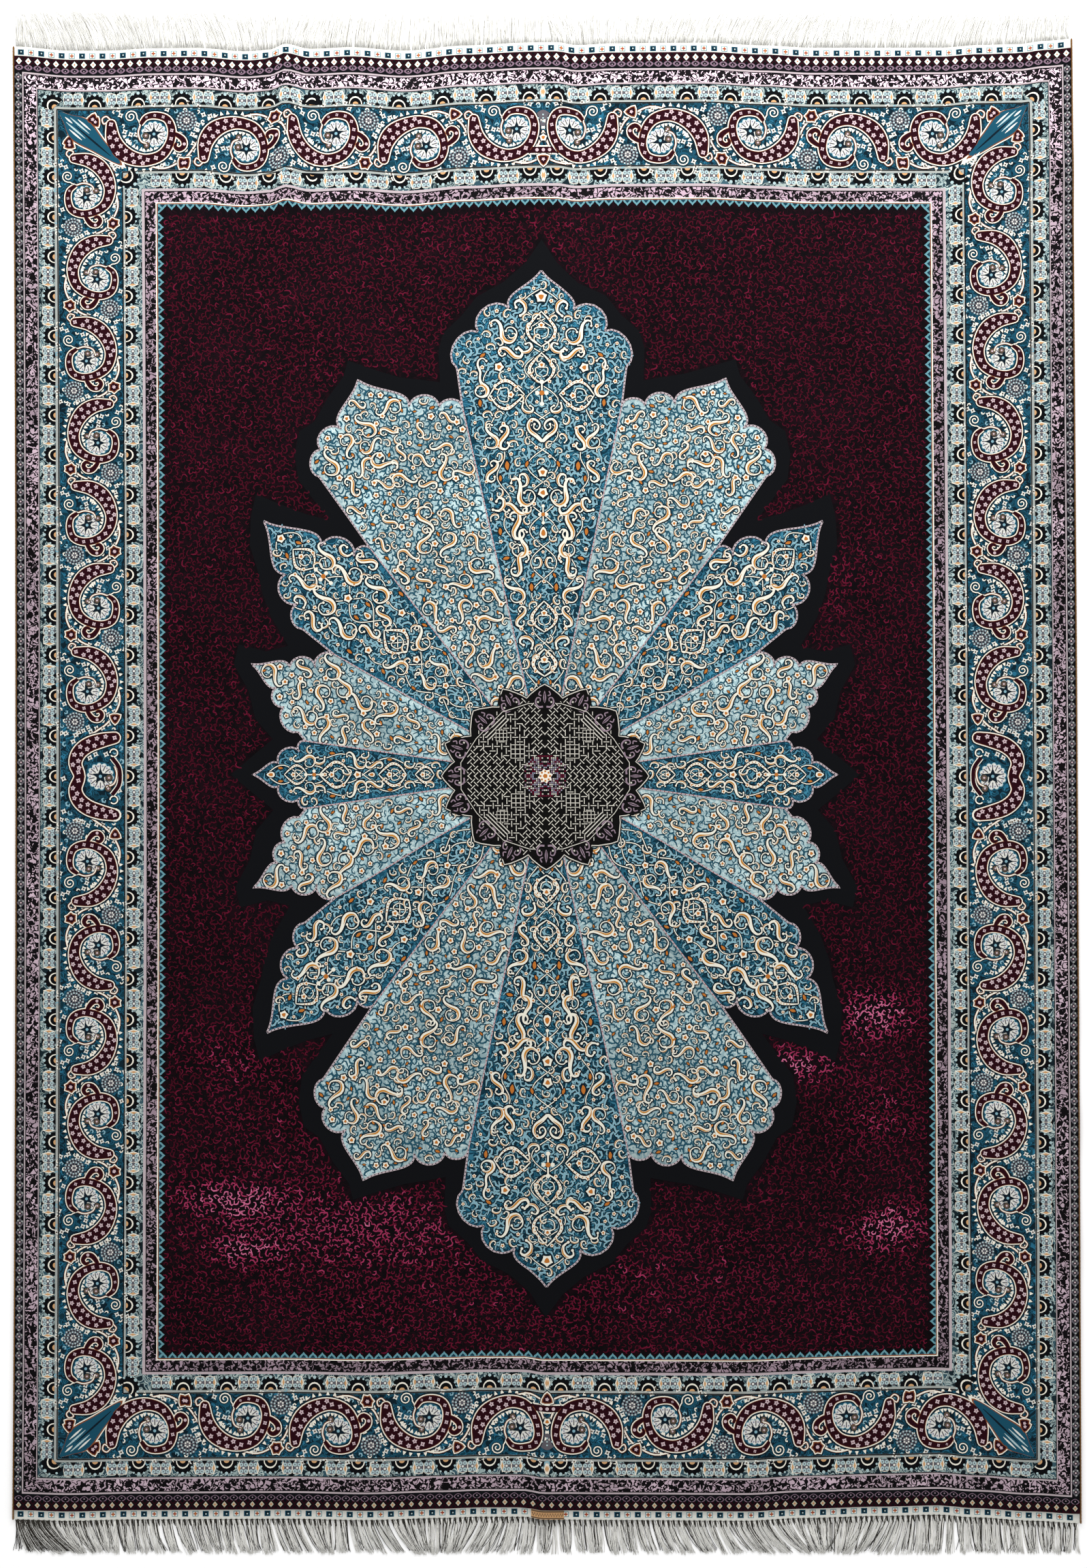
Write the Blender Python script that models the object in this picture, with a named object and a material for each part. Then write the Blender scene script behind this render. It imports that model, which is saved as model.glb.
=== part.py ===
"""A Chinese silk rug lying flat. The knotted pile is one sheet. At each end a narrow flat-woven
strip closes it and lets the warps out as a fringe, and a bound edge runs down each side.
X runs across the rug, Y along it from foot to head, and Z up, in metres. The origin is on the
surface that the rug lies on, under its middle."""

import math
import random
from collections import namedtuple

import bmesh
import bpy

# Sizes of the rug
PILE_LENGTH = 2.076
PILE_THICKNESS = 0.005
STRIP_WIDTH = 0.0135
STRIP_THICKNESS = 0.0022
BINDING_WIDTH = 0.0026
FRINGE_REACH = 1.104  # from the rug's middle to the cut tips
GAP = 0.0003  # between pieces that touch
HALF_PILE = PILE_LENGTH / 2

# The rug's sides, as they lie: X of the outer edge at the foot, the middle and the head
LEFT_SIDE = {"foot": -0.7635, "middle": -0.7590, "head": -0.7630}
RIGHT_SIDE = {"foot": 0.7635, "middle": 0.7580, "head": 0.7505}
MIDDLE_SHIFT = 0.009  # the woven middle lies this far toward the head

# The ends, as they lie: rows of (metres across the rug, mm by which that place lies toward the head)
HEAD_WAVE = (
    (-0.760, 0.0),
    (-0.680, -6.0),
    (-0.630, -6.0),
    (-0.560, -2.5),
    (-0.500, -2.0),
    (-0.430, -7.0),
    (-0.395, -5.0),
    (-0.373, 3.0),
    (-0.340, -3.5),
    (-0.280, -1.0),
    (-0.205, -6.0),
    (-0.115, 1.5),
    (-0.030, 5.3),
    (0.015, 5.3),
    (0.040, 1.6),
    (0.093, 4.5),
    (0.223, 5.3),
    (0.310, 1.5),
    (0.378, -1.8),
    (0.562, -2.0),
    (0.616, 2.0),
    (0.673, 3.4),
    (0.711, 8.0),
    (0.760, 12.0),
)
FOOT_WAVE = (
    (-0.760, -0.5),
    (-0.683, -2.5),
    (-0.586, -0.5),
    (-0.368, 0.5),
    (-0.260, -1.5),
    (-0.150, 1.5),
    (-0.096, 3.4),
    (-0.032, 3.4),
    (-0.005, -0.5),
    (0.094, -1.5),
    (0.285, -2.4),
    (0.366, 1.5),
    (0.475, 4.4),
    (0.557, 6.3),
    (0.611, 2.4),
    (0.693, -2.4),
    (0.760, -6.0),
)
WAVE_FADE = (0.25, 0.95)  # from the middle, where an end's wave starts and where it is full

# Low folds left from rolling: each runs from one place to another and lifts the cloth in a soft bump
Fold = namedtuple("Fold", "from_x from_y to_x to_y half_width height")
FOLDS = {
    "centre": Fold(0.000, -1.040, -0.004, 1.040, 0.045, 0.0030),
    "head crest": Fold(-0.372, 0.860, -0.374, 1.040, 0.050, 0.0050),
    "head middle": Fold(0.015, 0.900, 0.012, 1.040, 0.060, 0.0040),
    "head corner": Fold(0.560, 1.000, 0.730, 0.880, 0.070, 0.0050),
    "foot crease": Fold(0.348, -0.820, 0.348, -0.560, 0.045, 0.0045),
    "right band 1": Fold(0.400, -0.324, 0.700, -0.330, 0.060, 0.0030),
    "right band 2": Fold(0.420, -0.482, 0.720, -0.488, 0.060, 0.0030),
    "right band 3": Fold(0.400, -0.671, 0.700, -0.668, 0.060, 0.0030),
    "left band 1": Fold(-0.620, -0.372, -0.430, -0.370, 0.060, 0.0025),
    "left band 2": Fold(-0.600, -0.593, -0.330, -0.600, 0.060, 0.0025),
}
FOLD_FADE = 0.10  # the length over which a fold dies away past each end

# How finely the cloth is faceted, and how the fringe is combed
CLOTH_COLUMNS = 60
CLOTH_ROWS = 20
LOCKS_PER_COLUMN = 2
LOCK_FILL = 0.76  # a lock's share of its pitch
LOCK_TAPER = 0.82
LOCK_TIP_THICKNESS = 0.0014
TIP_SCATTER = 0.004
COMB_SCATTER = 0.0008
# Rows of (metres across the rug, sideways lean of the locks there for each metre of their reach)
HEAD_COMB = ((-0.76, 0.00), (-0.65, -0.26), (-0.40, -0.10), (0.00, 0.03), (0.40, 0.06), (0.76, 0.00))
FOOT_COMB = (
    (-0.76, 0.00),
    (-0.68, 0.50),
    (-0.54, 0.20),
    (-0.42, 0.08),
    (-0.22, -0.05),
    (-0.08, -0.30),
    (0.02, 0.00),
    (0.20, 0.30),
    (0.34, 0.05),
    (0.55, 0.12),
    (0.70, 0.10),
    (0.76, 0.00),
)
BINDING_SIDES = 8

# Colours, as linear red, green and blue
COLOURS = {
    "pile": (0.13, 0.24, 0.30),
    "head_fringe": (0.88, 0.88, 0.84),
    "foot_fringe": (0.66, 0.63, 0.56),
    "left_binding": (0.60, 0.38, 0.13),
    "right_binding": (0.60, 0.38, 0.13),
}
ROUGHNESS = 0.6


def ease(t):
    t = min(max(t, 0.0), 1.0)
    return t * t * (3 - 2 * t)


def between(rows, place):
    """The value at a place in a table of (place, value), eased from each row to the next."""
    if place <= rows[0][0]:
        return rows[0][1]
    for (start, first), (end, last) in zip(rows, rows[1:]):
        if place <= end:
            return first + (last - first) * ease((place - start) / (end - start))
    return rows[-1][1]


def side(edge, along):
    """X of a side's outer edge, on the curve through its three named places."""
    t = along / HALF_PILE
    turn = (edge["head"] - edge["foot"]) / 2
    bow = (edge["head"] + edge["foot"]) / 2 - edge["middle"]
    return edge["middle"] + turn * t + bow * t * t


def lift(x, y):
    """How far the folds raise the cloth at a place."""
    raised = 0.0
    for fold in FOLDS.values():
        run_x = fold.to_x - fold.from_x
        run_y = fold.to_y - fold.from_y
        length = math.hypot(run_x, run_y)
        forward = ((x - fold.from_x) * run_x + (y - fold.from_y) * run_y) / length
        aside = abs((x - fold.from_x) * run_y - (y - fold.from_y) * run_x) / length
        past = max(-forward, forward - length, 0.0)
        if aside < fold.half_width and past < FOLD_FADE:
            bump = (1 + math.cos(math.pi * aside / fold.half_width)) / 2
            raised = max(raised, fold.height * bump * ease(1 - past / FOLD_FADE))
    return raised


def station(column, along, inset=BINDING_WIDTH + GAP):
    """(x, y, z) of the cloth's underside at a column, 0 to CLOTH_COLUMNS, and a woven place along it."""
    left = side(LEFT_SIDE, along) + inset
    right = side(RIGHT_SIDE, along) - inset
    x = left + (right - left) * column / CLOTH_COLUMNS
    start, full = WAVE_FADE
    head = between(HEAD_WAVE, x) * ease((along - start) / (full - start))
    foot = between(FOOT_WAVE, x) * ease((-along - start) / (full - start))
    y = along + (head + foot) / 1000 + MIDDLE_SHIFT * (1 - (along / HALF_PILE) ** 2)
    return x, y, lift(x, y)


def lie(column, along):
    """As station, for a place between two columns, on the straight facet that joins them."""
    low = min(int(column), CLOTH_COLUMNS - 1)
    part = column - low
    first = station(low, along)
    second = station(low + 1, along)
    return tuple(a + (b - a) * part for a, b in zip(first, second))


def add_object(name, form):
    """An object of this form with its own material."""
    bmesh.ops.recalc_face_normals(form, faces=form.faces)
    mesh = bpy.data.meshes.new(name)
    form.to_mesh(mesh)
    form.free()
    material = bpy.data.materials.new(name)
    material.use_nodes = True
    shader = material.node_tree.nodes["Principled BSDF"]
    shader.inputs["Base Color"].default_value = (*COLOURS[name], 1)
    shader.inputs["Roughness"].default_value = ROUGHNESS
    mesh.materials.append(material)
    made = bpy.data.objects.new(name, mesh)
    bpy.context.scene.collection.objects.link(made)
    return made


def skin(form, rows):
    """Faces between neighbouring rows of points."""
    for row, following in zip(rows, rows[1:]):
        for a, b, c, d in zip(row, row[1:], following[1:], following):
            form.faces.new((a, b, c, d))


def pile():
    """The knotted sheet: its underside and its face have one grid, and a rim joins them."""
    form = bmesh.new()
    layers = []
    for height in (0.0, PILE_THICKNESS):
        rows = []
        for row in range(CLOTH_ROWS + 1):
            along = HALF_PILE * (2 * row / CLOTH_ROWS - 1)
            points = [station(column, along) for column in range(CLOTH_COLUMNS + 1)]
            rows.append([form.verts.new((x, y, z + height)) for x, y, z in points])
        skin(form, rows)
        layers.append(rows)
    under, over = layers
    for low, high in ((under[0], over[0]), (under[-1], over[-1])):
        skin(form, (low, high))
    for end in (0, -1):
        skin(form, ([row[end] for row in under], [row[end] for row in over]))
    return add_object("pile", form)


def fringe(name, facing, comb, seed):
    """The woven strip of one end, and its locks. facing is 1 at the head and -1 at the foot."""
    chance = random.Random(seed)
    form = bmesh.new()
    inner = facing * (HALF_PILE + GAP)
    outer = inner + facing * STRIP_WIDTH
    locks = CLOTH_COLUMNS * LOCKS_PER_COLUMN
    spare = (1 - LOCK_FILL) / 2
    columns = [0.0]
    for lock in range(locks):
        columns += [(lock + spare) / LOCKS_PER_COLUMN, (lock + 1 - spare) / LOCKS_PER_COLUMN]
    columns.append(float(CLOTH_COLUMNS))

    def line(along, height):
        points = [lie(column, along) for column in columns]
        return [form.verts.new((x, y, z + height)) for x, y, z in points]

    ring = [line(inner, 0), line(outer, 0), line(outer, STRIP_THICKNESS), line(inner, STRIP_THICKNESS)]
    skin(form, ring + ring[:1])
    for end in (0, -1):
        form.faces.new([row[end] for row in ring])

    front, top = ring[1], ring[2]
    shortfalls = [chance.uniform(0, TIP_SCATTER) for _ in range(locks)]
    longest = min(shortfalls)
    for lock in range(locks):
        at = 1 + 2 * lock
        root = [front[at], front[at + 1], top[at + 1], top[at]]
        form.faces.remove(form.faces.get(root))
        middle_x = (root[0].co.x + root[1].co.x) / 2
        start_y = (root[0].co.y + root[1].co.y) / 2
        tip_y = facing * (FRINGE_REACH - shortfalls[lock] + longest)
        lean = between(comb, middle_x)
        wide = abs(root[1].co.x - root[0].co.x) / 2
        rings = [root]
        for share, width, thick in ((0.45, 0.95, STRIP_THICKNESS), (1.0, LOCK_TAPER, LOCK_TIP_THICKNESS)):
            reach = (tip_y - start_y) * share
            x = middle_x + lean * abs(reach) * share + chance.uniform(-COMB_SCATTER, COMB_SCATTER)
            corners = [(-1, 0), (1, 0), (1, thick), (-1, thick)]
            rings.append([form.verts.new((x + wide * width * s, start_y + reach, z)) for s, z in corners])
        skin(form, [corners + corners[:1] for corners in rings])
        form.faces.new(rings[-1])
    return add_object(name, form)


def binding(name, edge, inward):
    """A round silk cord along one side, flat where it lies. inward is 1 on the left and -1 on the right."""
    form = bmesh.new()
    reach = HALF_PILE + GAP + STRIP_WIDTH
    corner = math.cos(math.pi / BINDING_SIDES)
    rows = []
    for row in range(CLOTH_ROWS + 1):
        along = reach * (2 * row / CLOTH_ROWS - 1)
        middle = side(edge, along) + inward * BINDING_WIDTH / 2
        column = 0 if inward > 0 else CLOTH_COLUMNS
        _, y, z = station(column, along)
        points = []
        for step in range(BINDING_SIDES):
            turn = 2 * math.pi * (step + 0.5) / BINDING_SIDES
            x = middle + BINDING_WIDTH / 2 * math.cos(turn) / corner
            height = PILE_THICKNESS / 2 * (1 + math.sin(turn) / corner)
            points.append(form.verts.new((x, y, z + height)))
        rows.append(points)
    skin(form, [points + points[:1] for points in rows])
    form.faces.new(rows[0])
    form.faces.new(rows[-1])
    return add_object(name, form)


def main():
    for old in list(bpy.data.objects):
        bpy.data.objects.remove(old)
    pile()
    fringe("head_fringe", 1, HEAD_COMB, seed=3)
    fringe("foot_fringe", -1, FOOT_COMB, seed=5)
    binding("left_binding", LEFT_SIDE, 1)
    binding("right_binding", RIGHT_SIDE, -1)


main()
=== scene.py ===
# %% [markdown]
# # A Chinese silk rug, laid flat
#
# The real rug is one sheet of silk pile, knotted row by row on its warps, with a plain white strip and
# a fringe at each end and an overcast cord along each side. A drawing program would print its pattern
# as a picture. Here each ground and ornament is its own coloured surface, as each is its own silk, so
# the edges stay sharp from any distance.
#
# The rug is drawn flat first, in millimetres from its woven middle, and then laid: one function turns
# a flat place into a place on the floor, with the wavy ends and the low folds that the rug has there.

import math
from collections import namedtuple

import bmesh
import bpy
import numpy as np
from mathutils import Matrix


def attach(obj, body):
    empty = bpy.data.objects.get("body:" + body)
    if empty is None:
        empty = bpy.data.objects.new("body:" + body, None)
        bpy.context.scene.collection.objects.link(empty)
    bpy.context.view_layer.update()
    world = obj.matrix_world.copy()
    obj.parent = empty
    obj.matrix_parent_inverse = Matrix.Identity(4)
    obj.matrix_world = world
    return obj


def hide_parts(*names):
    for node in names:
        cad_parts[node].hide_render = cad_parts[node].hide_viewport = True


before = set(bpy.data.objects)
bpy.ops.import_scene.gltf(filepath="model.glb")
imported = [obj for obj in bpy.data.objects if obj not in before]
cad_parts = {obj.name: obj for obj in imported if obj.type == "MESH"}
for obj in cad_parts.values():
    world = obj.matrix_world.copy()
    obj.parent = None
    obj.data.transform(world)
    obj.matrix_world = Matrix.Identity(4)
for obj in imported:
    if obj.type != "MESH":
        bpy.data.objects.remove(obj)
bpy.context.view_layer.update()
print("nodes:", ", ".join(sorted(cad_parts)))

# %% [markdown]
# ## How the rug lies
#
# These are the solids' own sizes, repeated from the part. The two waves say how far each place across
# the rug stands out toward the head, and the folds are low bumps left from rolling. A sculpted cloth
# would do, but a function of the flat place lets every ornament follow the same cloth exactly.

# %% Sizes of the rug
PILE_LENGTH = 2.076
PILE_THICKNESS = 0.005
STRIP_WIDTH = 0.0135
STRIP_THICKNESS = 0.0022
BINDING_WIDTH = 0.0026
FRINGE_REACH = 1.104
GAP = 0.0003
HALF_PILE = PILE_LENGTH / 2
LEFT_SIDE = {"foot": -0.7635, "middle": -0.7590, "head": -0.7630}
RIGHT_SIDE = {"foot": 0.7635, "middle": 0.7580, "head": 0.7505}
MIDDLE_SHIFT = 0.009

# The flat drawing, in mm
HALF_ACROSS = 756.0
HALF_ALONG = 1000 * HALF_PILE
FACE = 1000 * PILE_THICKNESS
LAYER = 0.18  # between one layer of the drawing and the next
STEP = 10.0  # the grid of a ground's facets, fine enough to bend over the folds

# Rows of (metres across the rug, mm by which that place lies toward the head)
HEAD_WAVE = np.array((
    (-0.760, 0.0), (-0.680, -6.0), (-0.630, -6.0), (-0.560, -2.5), (-0.500, -2.0), (-0.430, -7.0),
    (-0.395, -5.0), (-0.373, 3.0), (-0.340, -3.5), (-0.280, -1.0), (-0.205, -6.0), (-0.115, 1.5),
    (-0.030, 5.3), (0.015, 5.3), (0.040, 1.6), (0.093, 4.5), (0.223, 5.3), (0.310, 1.5),
    (0.378, -1.8), (0.562, -2.0), (0.616, 2.0), (0.673, 3.4), (0.711, 8.0), (0.760, 12.0),
))
FOOT_WAVE = np.array((
    (-0.760, -0.5), (-0.683, -2.5), (-0.586, -0.5), (-0.368, 0.5), (-0.260, -1.5), (-0.150, 1.5),
    (-0.096, 3.4), (-0.032, 3.4), (-0.005, -0.5), (0.094, -1.5), (0.285, -2.4), (0.366, 1.5),
    (0.475, 4.4), (0.557, 6.3), (0.611, 2.4), (0.693, -2.4), (0.760, -6.0),
))
WAVE_FADE = (0.25, 0.95)
Fold = namedtuple("Fold", "from_x from_y to_x to_y half_width height")
FOLDS = {
    "centre": Fold(0.000, -1.040, -0.004, 1.040, 0.045, 0.0030),
    "head crest": Fold(-0.372, 0.860, -0.374, 1.040, 0.050, 0.0050),
    "head middle": Fold(0.015, 0.900, 0.012, 1.040, 0.060, 0.0040),
    "head corner": Fold(0.560, 1.000, 0.730, 0.880, 0.070, 0.0050),
    "foot crease": Fold(0.348, -0.820, 0.348, -0.560, 0.045, 0.0045),
    "right band 1": Fold(0.400, -0.324, 0.700, -0.330, 0.060, 0.0030),
    "right band 2": Fold(0.420, -0.482, 0.720, -0.488, 0.060, 0.0030),
    "right band 3": Fold(0.400, -0.671, 0.700, -0.668, 0.060, 0.0030),
    "left band 1": Fold(-0.620, -0.372, -0.430, -0.370, 0.060, 0.0025),
    "left band 2": Fold(-0.600, -0.593, -0.330, -0.600, 0.060, 0.0025),
}
FOLD_FADE = 0.10
print(f"pile {2 * HALF_ACROSS:.0f} x {2 * HALF_ALONG:.0f} mm, {len(FOLDS)} folds")


# %% Lay a flat place on the floor
def ease(t):
    """From 0 to 1 with a level start and end."""
    t = np.clip(t, 0.0, 1.0)
    return t * t * (3 - 2 * t)


def between(rows, place):
    """The values at some places in a table of (place, value), eased from each row to the next."""
    starts, values = rows[:, 0], rows[:, 1]
    row = np.clip(np.searchsorted(starts, place) - 1, 0, len(rows) - 2)
    share = ease((place - starts[row]) / (starts[row + 1] - starts[row]))
    return values[row] + (values[row + 1] - values[row]) * share


def side(edge, along):
    """X of a side's outer edge, on the curve through its three named places."""
    t = along / HALF_PILE
    turn = (edge["head"] - edge["foot"]) / 2
    bow = (edge["head"] + edge["foot"]) / 2 - edge["middle"]
    return edge["middle"] + turn * t + bow * t * t


def lift(x, y):
    """How far the folds raise the cloth at some places."""
    raised = np.zeros(np.shape(x))
    for fold in FOLDS.values():
        run_x, run_y = fold.to_x - fold.from_x, fold.to_y - fold.from_y
        length = math.hypot(run_x, run_y)
        forward = ((x - fold.from_x) * run_x + (y - fold.from_y) * run_y) / length
        aside = np.abs((x - fold.from_x) * run_y - (y - fold.from_y) * run_x) / length
        past = np.maximum(np.maximum(-forward, forward - length), 0.0)
        bump = (1 + np.cos(math.pi * np.minimum(aside / fold.half_width, 1))) / 2
        raised = np.maximum(raised, fold.height * bump * ease(1 - past / FOLD_FADE))
    return raised


# The field's lower half was beaten down less hard, so it lies toward the foot, and the field leans a
# little. Rows of (metres along, mm), toward the foot and toward the right.
FOOT_DRAW = np.array((
    (-0.835, 0.0), (-0.715, 7.0), (-0.55, 9.0), (-0.35, 4.0), (-0.15, 3.0), (-0.08, 0.0),
))
LEAN = np.array(((-0.835, 0.0), (-0.55, 3.6), (-0.2, 2.0), (0.1, 0.0), (0.68, -2.2), (0.835, 0.0)))
INNER_REACH, INNER_FADE = 520, 80  # mm from the long axis where both end, and over which they fade


def lay(flat, height=FACE):
    """World places, in metres, of flat places on the rug, in mm, at a height above its underside."""
    across, along = flat[..., 0], flat[..., 1] / 1000
    left = side(LEFT_SIDE, along) + BINDING_WIDTH + GAP
    right = side(RIGHT_SIDE, along) - BINDING_WIDTH - GAP
    x = left + (right - left) * (across / HALF_ACROSS + 1) / 2
    start, full = WAVE_FADE
    head = between(HEAD_WAVE, x) * ease((along - start) / (full - start))
    foot = between(FOOT_WAVE, x) * ease((-along - start) / (full - start))
    inner = ease((INNER_REACH - np.abs(across)) / INNER_FADE) / 1000
    x = x + between(LEAN, along) * inner
    y = along - between(FOOT_DRAW, along) * inner + (head + foot) / 1000
    y = y + MIDDLE_SHIFT * (1 - (along / HALF_PILE) ** 2)
    return np.stack((x, y, lift(x, y) + np.asarray(height) / 1000 + 0 * x), -1)


print("the foot's left corner lies at", lay(np.array((-HALF_ACROSS, -HALF_ALONG))).round(4))

# %% [markdown]
# ## Dyed silks
#
# The yarn is reeled silk, dyed and cut to a short pile. Cut ends scatter light, so the face is matt
# from above and has a soft sheen at a low angle. One material is one dye. Its colour is the hex code
# of the yarn, which one function turns into the linear values that a shader wants. Each knot is about
# 1.3 mm across, and a bump of that size breaks up the light.

# %% Silks
KNOT = 1.3  # mm, one knot of the pile
SILK_FACE = {"Roughness": 0.75, "IOR": 1.54, "Specular IOR Level": 0.03, "Sheen Weight": 0.02,
             "Sheen Roughness": 0.5}


def linear(code):
    """Linear red, green, blue and 1 for a hex colour."""
    parts = [int(code[i:i + 2], 16) / 255 for i in (0, 2, 4)]
    return (*[c / 12.92 if c <= 0.04045 else ((c + 0.055) / 1.055) ** 2.4 for c in parts], 1)


def node(tree, kind, settings=None, **inputs):
    """A node with some settings, and its inputs set to values or linked to other nodes' outputs."""
    made = tree.nodes.new(kind)
    for key, value in (settings or {}).items():
        setattr(made, key, value)
    for key, value in inputs.items():
        socket = made.inputs[key.replace("_", " ")]
        if isinstance(value, bpy.types.NodeSocket):
            tree.links.new(value, socket)
        else:
            socket.default_value = value
    return made


def silk(name, code):
    """Dyed silk yarn, knotted and cut: matt, with a soft sheen and the small bumps of the knots."""
    material = bpy.data.materials.new(name)
    material.use_nodes = True
    tree = material.node_tree
    shader = tree.nodes["Principled BSDF"]
    shader.inputs["Base Color"].default_value = linear(code)
    for key, value in SILK_FACE.items():
        shader.inputs[key].default_value = value
    place = node(tree, "ShaderNodeTexCoord").outputs["Object"]
    pile = node(tree, "ShaderNodeTexVoronoi", Vector=place, Scale=1000 / KNOT)
    bump = node(tree, "ShaderNodeBump", Strength=0.1, Distance=0.0005, Height=pile.outputs["Distance"])
    tree.links.new(bump.outputs["Normal"], shader.inputs["Normal"])
    return material


SILKS = {
    "black": "07080b",
    "night": "0a0b0e",
    "navy": "0b1821",
    "wine": "3d0718",
    "wine_light": "580e26",
    "wine_deep": "1a050c",
    "wine_bright": "8a2a4c",
    "wine_sheen": "b25a7c",
    "burgundy": "22050d",
    "rust": "754023",
    "orange": "a66429",
    "tan": "b58c62",
    "cream": "d9d4c6",
    "scroll": "d2cfc1",
    "scroll_shade": "ad742b",
    "white": "c8c8c1",
    "pink": "a6999d",
    "rose": "b59fa4",
    "mauve": "6e5a68",
    "grey": "524f55",
    "pale_grey": "939793",
    "deep_teal": "103140",
    "teal": "154457",
    "leaf": "749aa6",
    "pale_stroke": "1d4656",
    "blue": "4a7c8f",
    "light_blue": "9aafb1",
    "sea": "59868f",
    "red": "842c27",
    "lavender": "878697",
    "bud": "514438",
    "star_line": "b8b4aa",
    "star_mauve": "806e7a",
    "star_black": "0b0a0a",
    # A darker cream for the foot's diamonds, painted shade where less light falls
    "foot_cream": "a39a88",
    "warp": "d6d5d0",
    # Darker yarns of painted shade, for the shadows between the fringe's locks
    "warp_painted_shade": "a5a39c",
    # The foot's warp silk, lighter than the head's to paint more light onto the dimmer foot
    "warp_foot_painted_light": "ecebe6",
    # Dark yarns of painted shadow under and between the foot's locks
    "warp_painted_shadow": "3f3c36",
    # Painted shadow in the gaps at the roots of the foot's locks
    "warp_root": "2b2925",
    "binding": "6e4f2e",
}
silks = {name: silk("silk_" + name, code) for name, code in SILKS.items()}
print(len(silks), "silks")

# %% [markdown]
# ## A kit for drawing flat
#
# Thousands of small ornaments repeat, so they aren't modelled one by one: a shape is a set of flat
# points with triangles, one silk and a layer. Ribbons, patches and dots make shapes, and `copies`
# repeats a motif, turned, sized and mirrored. `lay_down` joins all the shapes of a piece into one mesh
# on the rug, with one material slot for each silk.

# %% Ribbons, patches and dots
Shape = namedtuple("Shape", "points faces silk level")


def ribbons(paths, widths, silk_name, level):
    """Bands along one path (k, 2) or many (n, k, 2). widths is one number, or one for each point."""
    paths = np.asarray(paths, float)
    paths = paths[None] if paths.ndim == 2 else paths
    count, steps = paths.shape[:2]
    ahead = np.gradient(paths, axis=1)
    ahead /= np.linalg.norm(ahead, axis=2, keepdims=True) + 1e-9
    aside = np.stack((-ahead[..., 1], ahead[..., 0]), -1)
    aside *= np.broadcast_to(widths, (count, steps))[..., None] / 2
    points = np.stack((paths + aside, paths - aside), 2).reshape(-1, 2)
    at = np.arange(steps - 1) * 2
    strip = np.concatenate((np.stack((at, at + 1, at + 3), 1), np.stack((at, at + 3, at + 2), 1)))
    faces = strip[None] + (np.arange(count) * 2 * steps)[:, None, None]
    return Shape(points, faces.reshape(-1, 3), silk_name, level)


def strands(path, *layers):
    """Bands one over another along the same path, each (widths, silk, level)."""
    return [ribbons(path, *layer) for layer in layers]


def patches(outlines, silk_name, level, rings=1):
    """Filled outlines (k, 2) or (n, k, 2), anticlockwise, each seen whole from its own middle.

    A wide one takes several rings, so that it can bend over a fold."""
    outlines = np.asarray(outlines, float)
    outlines = outlines[None] if outlines.ndim == 2 else outlines
    count, corners = outlines.shape[:2]
    middle = outlines.mean(1, keepdims=True)
    share = (np.arange(rings, 0, -1) / rings)[None, :, None, None]
    shells = middle[:, None] + (outlines - middle)[:, None] * share
    points = np.concatenate((shells.reshape(count, -1, 2), middle), 1)
    at = np.arange(corners)
    after = (at + 1) % corners
    faces = []
    for ring in range(rings - 1):
        near, far = ring * corners, (ring + 1) * corners
        faces += [np.stack((near + at, near + after, far + after), 1),
                  np.stack((near + at, far + after, far + at), 1)]
    last = (rings - 1) * corners
    faces.append(np.stack((last + at, last + after, last + corners + 0 * at), 1))
    faces = np.concatenate(faces)[None] + (np.arange(count) * points.shape[1])[:, None, None]
    return Shape(points.reshape(-1, 2), faces.reshape(-1, 3), silk_name, level)


def dots(places, radius, silk_name, level, sides=6, turn=0.5, stretch=1.0, rings=1):
    """Small rounds about some places. With 4 sides they are diamonds or squares."""
    angle = 2 * np.pi * (np.arange(sides) + turn) / sides
    rim = np.stack((np.cos(angle), stretch * np.sin(angle)), 1)
    places = np.atleast_2d(np.asarray(places, float))
    sizes = np.broadcast_to(radius, len(places))[:, None, None]
    return patches(places[:, None] + rim * sizes, silk_name, level, rings)


def lobed(radius, petals, waist=0.55, per=2, turn=0.25):
    """The rim of a flower: it falls to a share of its radius between one petal and the next."""
    angle = 2 * np.pi * np.arange(petals * per) / (petals * per)
    out = radius * (waist + (1 - waist) * np.abs(np.cos(petals * angle / 2)))
    angle += 2 * np.pi * turn / petals
    return np.stack((np.cos(angle), np.sin(angle)), 1) * out[:, None]


def blossoms(places, radius, petals, silk_name, heart, per=2):
    """Small lobed flowers about each place, each with a heart of another silk."""
    places = np.atleast_2d(np.asarray(places, float))
    return [patches(places[:, None] + lobed(radius, petals, per=per), silk_name, 1),
            dots(places, radius * 0.32, heart, 2, sides=5)]


# %% Paths
def smooth(points, per, closed=False):
    """A curve through some points, a Catmull-Rom spline with this many steps for each span."""
    points = np.asarray(points, float)
    if closed:
        ring = np.concatenate((points[-1:], points, points[:2]))
    else:
        ring = np.concatenate((2 * points[:1] - points[1:2], points, 2 * points[-1:] - points[-2:-1]))
    t = (np.arange(per) / per)[None, :, None]
    a, b, c, d = (ring[i:len(ring) - 3 + i, None] for i in range(4))
    cubic = t * (a / -2 + 1.5 * b - 1.5 * c + d / 2) + (a - 2.5 * b + 2 * c - d / 2)
    spans = (b + t * ((c - a) / 2 + t * cubic)).reshape(-1, points.shape[1])
    return spans if closed else np.concatenate((spans, points[-1:]))


def arc(radius, start, end, steps, middle):
    """A path round a middle, from one angle in degrees to another."""
    turn = np.radians(np.linspace(start, end, steps))
    return np.stack((np.cos(turn), np.sin(turn)), 1) * radius + np.asarray(middle, float)


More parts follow.
